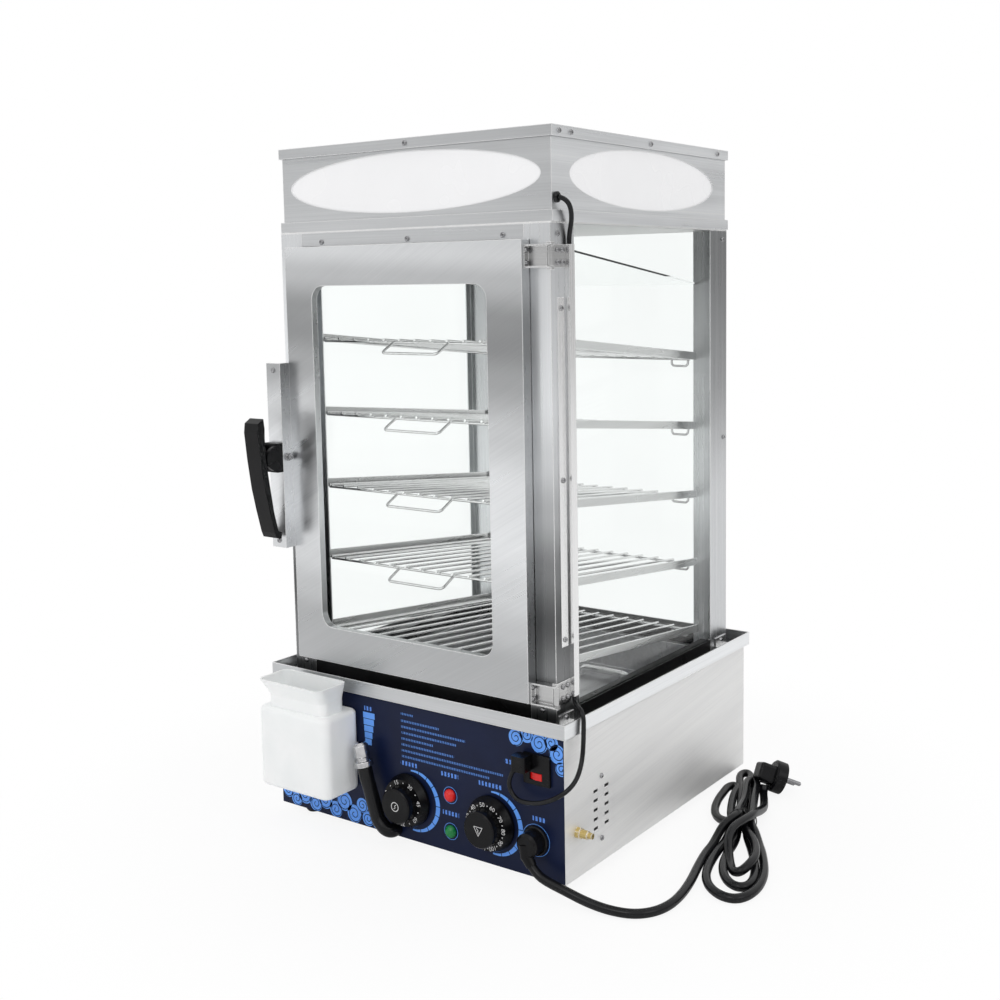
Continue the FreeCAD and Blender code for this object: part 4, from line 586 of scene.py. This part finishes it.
def hank_turns():
    """The cord's passes through the tie and round its six loops."""
    top, middle, low = 21.1, 13.4, 5.7
    incoming = [(-60, -29, 6.0), (-42, -25, 9.0), (-26, -19, 17.0), (-12, -10.5, 20.9)]
    right_loop = [(-2, -5.0, top), (8, -4.4, 20.9), (22, -3.0, 18.5), (45, 0, 14.2), (70, 1.5, 13.7),
                  (90, 1.0, 13.6), (103, 3.0, 13.0), (107, 9.0, 12.2), (99, 12.8, 11.4),
                  (86, 12.6, 11.6), (66, 11.5, 13.2), (40, 10.5, 13.8), (18, 9.6, 13.5)]
    wide_loop = [(3, 9.0, middle), (-6, 9.3, 13.2), (-20, 14.0, 10.6), (-45, 18.6, 5.2), (-70, 22.5, 4.7),
                 (-113, 25.5, 4.7), (-143, 21.6, 4.7), (-165, 12.0, 4.7), (-175, -1.0, 4.7),
                 (-169, -16.0, 4.7), (-150, -28.0, 4.7), (-122, -32.0, 4.7), (-80, -25.2, 4.7),
                 (-40, -15.6, 5.0), (-20, -12.0, 10.6)]
    left_loop = [(-14, -8.4, 13.4), (-4, -11.4, 12.6), (6, -17.5, 9.6), (19, -26.5, 5.6), (38, -32.0, 4.7),
                 (62, -30.0, 4.7), (86, -24.0, 4.7), (101, -20.0, 4.7), (106, -13.0, 4.7),
                 (99, -8.6, 4.7), (84, -12.0, 4.7), (58, -13.9, 4.7), (30, -13.8, 4.7), (14, -10.4, 5.2)]
    middle_low_loop = [(3, -4.6, low), (-6, -4.7, 5.5), (-22, -5.0, 4.8), (-45, -7.0, 4.7),
                       (-75, -13.2, 4.7), (-108, -16.4, 4.7), (-134, -12.0, 4.7), (-149, -2.0, 4.7),
                       (-148, 9.0, 4.7), (-132, 15.4, 4.7), (-105, 16.2, 4.7), (-63, 12.0, 4.7),
                       (-25, 6.2, 4.8)]
    middle_loop = [(-6, 4.7, 5.5), (3, 4.6, low), (15, 4.8, 5.0), (40, 5.0, 4.7), (70, 5.2, 4.7),
                   (98, 5.0, 4.7), (122, 4.6, 4.7), (140, 4.6, 4.7), (147, -1.5, 4.7), (138, -8.0, 4.7),
                   (118, -7.6, 4.7), (90, -4.2, 4.7), (60, -4.0, 4.7), (38, -4.0, 4.9), (20, -3.6, 8.4)]
    short_low_loop = [(4, 0, 13.2), (-5, 0.2, 13.4), (-25, 4.0, 13.8), (-50, 12.0, 13.8), (-75, 16.0, 13.8),
                      (-100, 16.0, 13.8), (-117, 10.0, 12.6), (-125, 2.0, 8.6), (-118, -5.2, 5.2),
                      (-101, -8.5, 4.8), (-86, -10.5, 8.0), (-72, -12.0, 13.6), (-60, -11.5, 17.8),
                      (-48, -9.0, 20.8), (-36, -5.0, 22.1), (-22, 1.5, 22.4)]
    onward = [(-6, 8.5, 21.8), (4, 11.5, 20.4), (13, 14.0, 18.0), (24, 17.0, 14.2), (36, 20.0, 10.4),
              (48, 21.8, 7.4)]
    turns = (incoming + right_loop + wide_loop + left_loop + middle_low_loop + middle_loop
             + short_low_loop + onward)
    return [hank_spot(*turn) for turn in turns]


def mains_cord(paints):
    """The mains cord: out of its inlet, along the counter, through the tied hank and to its plug."""
    route = [
        (161.5, -205.0, 27.5), (168.5, -205.8, 21.0), (180.5, -206.2, 17.2), (199.0, -205.8, 13.6),
        (222.0, -203.6, 7.6), (246.0, -201.2, 4.9), (268.0, -195.5, 4.7), (281.5, -181.5, 4.7),
        (287.5, -162.0, 4.7), (286.5, -137.0, 4.7), (280.0, -106.0, 4.7), (271.0, -76.0, 4.7),
        (263.0, -44.0, 4.8),
    ]
    plug_end = [(253.2, 113.5, 4.8), (245.9, 127.3, 4.8), (244.2, 131.4, 7.3), (243.9, 134.4, 12.5)]
    cord = cord_curve("mains_cord", route + hank_turns() + plug_end, 4.5, paints["cord_rubber"])
    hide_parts("power_cord", "cord_hank", "plug_lead")


def wire_tie(paints):
    """A thin wire bound round the hank's waist, with its two loose ends."""
    deselect()
    bpy.ops.mesh.primitive_torus_add(major_radius=mm(15), minor_radius=mm(0.55), major_segments=40,
                                     minor_segments=8, rotation=(0, math.pi / 2, 0))
    ring = bpy.context.object
    settle(ring)
    ring.scale = (1, 1, 0.86)
    ring.rotation_euler.z = hank_turn
    ring.location = at(*hank_spot(0, 0, 13.7))
    settle(ring)
    ends = []
    for side in (0, 1):
        points = [hank_spot(0, 13.5, 6.0), hank_spot(-2 - side, 15.5, 3.4),
                  hank_spot(-9 + side, 14.0, 1.8 + side), hank_spot(-17, 11.5 + side, 1.4)]
        ends.append(meshed(round_line("wire", points, 0.5, 2, 12)))
    tie = joined([ring] + ends, "wire_tie")
    finish_piece(tie, "cabinet", paints["cord_rubber"])
    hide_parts("cord_tie")


# Flat print

# The depths just before the panel's film, the knobs' number rings and their caps.
print_y, number_y, sign_y = -190.62, -202.06, -213.56
dials_z, timer_x, thermostat_x = 52.2, -3.5, 103.7
film_low, film_half = 9.6, 189.4


def spun_band(x, y, z, inner, outer, start, sweep, steps):
    """A flat band bent round a point of the panel: an edge spun about the panel's normal."""
    deselect()
    width = mm(outer - inner)
    bpy.ops.mesh.primitive_plane_add(size=width, location=(mm(inner + outer) / 2, width / 2, 0))
    band = bpy.context.object
    settle(band)
    select_vertices(band, lambda place: place.y > width / 2)
    bpy.ops.mesh.delete(type="VERT")
    bpy.ops.mesh.select_all(action="SELECT")
    bpy.ops.mesh.spin(steps=steps, angle=math.radians(sweep), center=(0, 0, 0), axis=(0, 1, 0))
    bpy.ops.object.mode_set(mode="OBJECT")
    band.rotation_euler.y = -math.radians(start)
    band.location = at(x, y, z)
    settle(band)
    return band


def flat_patch(left, right, low, high):
    """A flat oblong on the panel's film."""
    deselect()
    middle = at((left + right) / 2, print_y, (low + high) / 2)
    bpy.ops.mesh.primitive_plane_add(size=1, location=middle, rotation=(math.pi / 2, 0, 0))
    patch = bpy.context.object
    patch.scale = (mm(right - left), mm(high - low), 1)
    settle(patch)
    return patch


def flat_disc(x, z, radius):
    """A flat disc on the panel's film."""
    deselect()
    bpy.ops.mesh.primitive_circle_add(vertices=32, radius=mm(radius), fill_type="NGON",
                                      location=at(x, print_y, z), rotation=(math.pi / 2, 0, 0))
    disc = bpy.context.object
    settle(disc)
    return disc


def flat_stroke(points, width, y):
    """A drawn line of (x, z) points, made a mesh and pressed flat."""
    route = [(x, 0, z) for x, z in points]
    stroke = meshed(round_line("stroke", route, width / 2, 0, 3, capped=False))
    stroke.scale = (1, 0.02, 1)
    stroke.location.y = mm(y)
    settle(stroke)
    return stroke


def joined(pieces, name):
    """The pieces as one, under its name."""
    deselect()
    for piece in pieces:
        piece.select_set(True)
    bpy.context.view_layer.objects.active = pieces[0]
    bpy.ops.object.join()
    whole = bpy.context.object
    whole.name = name
    whole.data.name = name
    return whole


def kept_on_film(piece):
    """Cut off what lies past the lower edge and the two sides of the panel's film."""
    for edge, outward in ((at(0, 0, film_low), (0, 0, -1)), (at(film_half, 0, 0), (1, 0, 0)),
                          (at(-film_half, 0, 0), (-1, 0, 0))):
        pick(piece)
        bpy.ops.object.mode_set(mode="EDIT")
        bpy.ops.mesh.select_all(action="SELECT")
        bpy.ops.mesh.bisect(plane_co=edge, plane_no=outward, clear_outer=True)
        bpy.ops.object.mode_set(mode="OBJECT")


def dial_scales(paints):
    """Two segmented crescents, the rings round the lamps and inlet, and the water gauge."""
    # A crescent is widest at its middle, and has a gap after every six steps.
    outer, first, pitch, sweep, gap = 32.7, -98, 3.05, 3.08, 1.6
    bands = []
    for x in (4.7, 108.6):
        for step in range(60):
            start = first + step * pitch + step // 6 * gap
            reach = 5.0 * math.cos(0.72 * math.radians(start + 1.5)) - 0.2
            bands.append(spun_band(x, print_y, 52.5, outer - 1.1 * reach, outer, start, sweep, 1))
    for x, z, radius in ((51.2, 68.9, 8.6), (51.2, 30.9, 8.6), (156.7, 47.0, 16.0)):
        bands.append(spun_band(x, print_y, z, radius - 0.25, radius + 0.25, 0, 360, 40))
    for step in range(5):
        high = 135.4 - step * 7.2
        bands.append(flat_patch(-64.8 + step * 0.5, -48.6 - step * 1.3, high - 6.5, high))
    scales = joined(bands, "dial_scales")
    finish_piece(scales, "cabinet", paints["light_print"])


def print_rows(paints):
    """The block of small print and the labels, as rows without letters."""
    left, top, pitch, height = -12.0, 136.4, 6.3, 2.4
    rows = [flat_patch(left, 4.0, 141.6, 143.8)]
    for row, length in enumerate((50, 84, 73, 42, 69, 130, 114)):
        high = top - row * pitch
        rows.append(flat_patch(left, left + length, high - height, high))
    small = joined(rows, "small_print_rows")
    finish_piece(small, "cabinet", paints["small_print"])
    labels = [flat_patch(left, right, low, low + 4.6) for left, right, low in (
        (-14.0, 9.0, 88.0), (40.0, 62.0, 87.6), (41.0, 62.0, 47.4), (88.0, 117.0, 88.2),
        (153.0, 168.0, 66.6), (120.0, 139.0, 117.0), (-63.0, -52.0, 137.4))]
    marks = joined(labels, "label_rows")
    finish_piece(marks, "cabinet", paints["label_print"])


def cloud_curl(x, z, radius, turn, side):
    """One traditional cloud curl: a spiral that winds into its middle."""
    points = []
    for step in range(22):
        share = step / 21
        angle = math.radians(turn) + side * share * 3.5 * math.pi
        reach = radius * (1 - 0.86 * share)
        points.append((x + reach * math.cos(angle), z + reach * math.sin(angle)))
    return points


def cloud_ornament(paints):
    """Common cloud scrolls in the panel's lower left and upper right corners."""
    curls = [
        (-181, 24, 8, 200, 1), (-168, 17, 8, 20, -1), (-155, 24, 10, 170, 1), (-139, 18, 9, 10, -1),
        (-124, 25, 10, 190, 1), (-109, 18, 9, 20, -1), (-96, 30, 11, 160, 1), (-82, 19, 10, 0, -1),
        (-70, 31, 8, 200, 1), (-62, 18, 8, 30, -1), (-50, 14, 5, 0, -1), (-108, 41, 9, 100, 1),
        (-128, 42, 8, 60, -1), (-147, 40, 8, 120, 1), (-166, 37, 8, 60, -1), (-182, 43, 7, 140, 1),
        (134.5, 145.5, 8.5, 250, 1), (147, 150.5, 8, 200, -1), (162, 144.5, 9.5, 260, 1),
        (176, 148, 8, 300, -1), (183, 138, 9.5, 200, -1), (187.5, 124, 7, 120, 1),
    ]
    clouds = joined([flat_disc(x, z, radius) for x, z, radius, turn, side in curls],
                    "cloud_ornament")
    kept_on_film(clouds)
    finish_piece(clouds, "cabinet", paints["light_print"])
    strokes = joined([flat_stroke(cloud_curl(x, z, radius, turn, side), 0.9, print_y - 0.04)
                      for x, z, radius, turn, side in curls], "cloud_scrolls")
    kept_on_film(strokes)
    finish_piece(strokes, "cabinet", paints["blue_film"])


def dial_number(x, y, z, size, text, angle):
    """A plain number on a knob, its foot towards the knob's middle."""
    deselect()
    bpy.ops.object.text_add(location=(0, 0, 0), rotation=(math.pi / 2, 0, 0))
    number = bpy.context.object
    number.data.body = text
    number.data.size = mm(size)
    number.data.align_x = "CENTER"
    number.data.align_y = "CENTER"
    number.data.resolution_u = 3
    bpy.ops.object.convert(target="MESH")
    number.rotation_euler = (math.pi / 2, math.pi / 2 - math.radians(angle), 0)
    number.location = at(x, y, z)
    settle(number)
    return number


def dial_marks(paints):
    """White ticks and numbers on the two knobs, and a plain sign on each cap."""
    reach = 21.8
    timer_sign = [[(-1.6, -2.2), (1.6, -0.8), (-1.2, 0.8), (1.8, 2.2)]]
    thermostat_sign = [
        [(-5.2, 3.6), (-5.1, 3.6), (5.1, 3.6), (5.2, 3.6), (0, -5.4), (0, -5.5), (-5.2, 3.5),
         (-5.2, 3.6)],
        [(-2.0, 2.0), (0.8, 0.4), (-0.8, -0.6), (0.4, -2.8)]]
    for body, name, centre, numbers, first, last, sign in (
            ("timer_dial", "timer_marks", timer_x, range(0, 91, 15), 160, -140, timer_sign),
            ("thermostat_dial", "thermostat_marks", thermostat_x, range(30, 111, 10), 165, -100,
             thermostat_sign)):
        pitch = (last - first) / (len(numbers) - 1)
        pieces = []
        for index, number in enumerate(numbers):
            angle = first + pitch * index
            turn = math.radians(angle)
            pieces.append(dial_number(centre + reach * math.cos(turn), number_y,
                                      dials_z + reach * math.sin(turn), 6.4, str(number), angle))
        for index in range(len(numbers) - 1):
            start = first + pitch * (index + 0.5) - 1.6
            pieces.append(spun_band(centre, number_y, dials_z, 21.2, 22.4, start, 3.2, 1))
        if body == "timer_dial":
            pieces.append(spun_band(centre, sign_y, dials_z, 4.2, 5.0, 0, 360, 32))
        for line in sign:
            pieces.append(flat_stroke([(centre + x, dials_z + z) for x, z in line], 0.75, sign_y))
        marks = joined(pieces, name)
        finish_piece(marks, body, paints["white_print"])


# Studio

def seen_straight(tree, place):
    """One for what the camera sees, also through glass, and none for all other light."""
    path = add_node(tree, "ShaderNodeLightPath", place)
    either = add_node(tree, "ShaderNodeMath", (place[0] + 200, place[1]), operation="MAXIMUM")
    link(tree,
         (path.outputs["Is Camera Ray"], either.inputs[0]),
         (path.outputs["Is Transmission Ray"], either.inputs[1]))
    return either.outputs["Value"]


def studio_floor():
    """A pale counter that is white to the camera and through the glass, and keeps a soft shadow."""
    deselect()
    bpy.ops.mesh.primitive_plane_add(size=2, location=(0, 0, 0))
    floor = bpy.context.object
    floor.name = "studio_floor"
    floor.scale = (6, 6, 1)
    settle(floor)
    material = bpy.data.materials.new("studio_white")
    material.use_nodes = True
    tree = material.node_tree
    shader = tree.nodes["Principled BSDF"]
    shader.inputs["Base Color"].default_value = (0.92, 0.92, 0.92, 1)
    shader.inputs["Roughness"].default_value = 0.9
    shader.inputs["Specular IOR Level"].default_value = 0.1
    white = add_node(tree, "ShaderNodeEmission", (300, -300), {"Strength": 1.0})
    place = add_node(tree, "ShaderNodeTexCoord", (-500, -300))
    reach = add_node(tree, "ShaderNodeVectorMath", (-300, -300), operation="LENGTH")
    fade = spread(tree, (-100, -300), reach.outputs["Value"], (0.3, 0.6), (0.88, 1.0),
                  interpolation_type="SMOOTHSTEP")
    share = add_node(tree, "ShaderNodeMath", (300, -500), operation="MULTIPLY")
    mix = add_node(tree, "ShaderNodeMixShader", (600, -100))
    link(tree,
         (place.outputs["Object"], reach.inputs[0]),
         (fade, share.inputs[0]),
         (seen_straight(tree, (-300, -560)), share.inputs[1]),
         (share.outputs["Value"], mix.inputs[0]),
         (shader.outputs["BSDF"], mix.inputs[1]),
         (white.outputs["Emission"], mix.inputs[2]),
         (mix.outputs["Shader"], tree.nodes["Material Output"].inputs["Surface"]))
    floor.data.materials.append(material)


def studio_world():
    """White where it is seen, and as light a soft room that brightens towards its top."""
    world = bpy.data.worlds.new("studio_world")
    bpy.context.scene.world = world
    world.use_nodes = True
    tree = world.node_tree
    background = tree.nodes["Background"]
    background.inputs["Strength"].default_value = 1.0
    place = add_node(tree, "ShaderNodeTexCoord", (-1000, 0))
    split = add_node(tree, "ShaderNodeSeparateXYZ", (-800, 0))
    high = spread(tree, (-650, 0), split.outputs["Z"], (-1.0, 1.0))
    room = ramped(tree, (-500, 0), high, ((0.52, (0.46, 0.46, 0.46)), (0.75, (0.95, 0.95, 0.95))))
    white = add_node(tree, "ShaderNodeBackground", (0, -200),
                     {"Color": (1, 1, 1, 1), "Strength": 1.0})
    mix = add_node(tree, "ShaderNodeMixShader", (250, 0))
    link(tree,
         (place.outputs["Generated"], split.inputs["Vector"]),
         (room, background.inputs["Color"]),
         (seen_straight(tree, (-400, 300)), mix.inputs[0]),
         (background.outputs["Background"], mix.inputs[1]),
         (white.outputs["Background"], mix.inputs[2]),
         (mix.outputs["Shader"], tree.nodes["World Output"].inputs["Surface"]))


def soft_box(name, place, aim, width, height, power):
    """An oblong lamp at its place, turned to its aim."""
    data = bpy.data.lights.new(name, "AREA")
    data.shape = "RECTANGLE"
    data.size = width
    data.size_y = height
    data.energy = power
    lamp = bpy.data.objects.new(name, data)
    lamp.location = place
    lamp.rotation_euler = (Vector(aim) - Vector(place)).to_track_quat("-Z", "Y").to_euler()
    bpy.context.scene.collection.objects.link(lamp)


def studio_lights():
    """Three large soft lamps: in front, to the right and low on the left."""
    soft_box("key_light", (0.3, -2.6, 2.2), (0, 0, 0.35), 1.2, 1.2, 8)
    soft_box("side_light", (2.6, -0.6, 1.7), (0.1, 0, 0.35), 1.4, 1.4, 5)
    soft_box("left_glow", (-2.4, -2.6, 0.5), (0, 0, 0.3), 1.6, 1.0, 2.5)


# Build

studio_camera()
studio_world()
studio_lights()
studio_floor()
paints = make_materials()
paint_nodes(paints)
light_lead(paints)
mains_cord(paints)
wire_tie(paints)
dial_scales(paints)
print_rows(paints)
cloud_ornament(paints)
dial_marks(paints)
bpy.context.scene.view_settings.view_transform = "Standard"
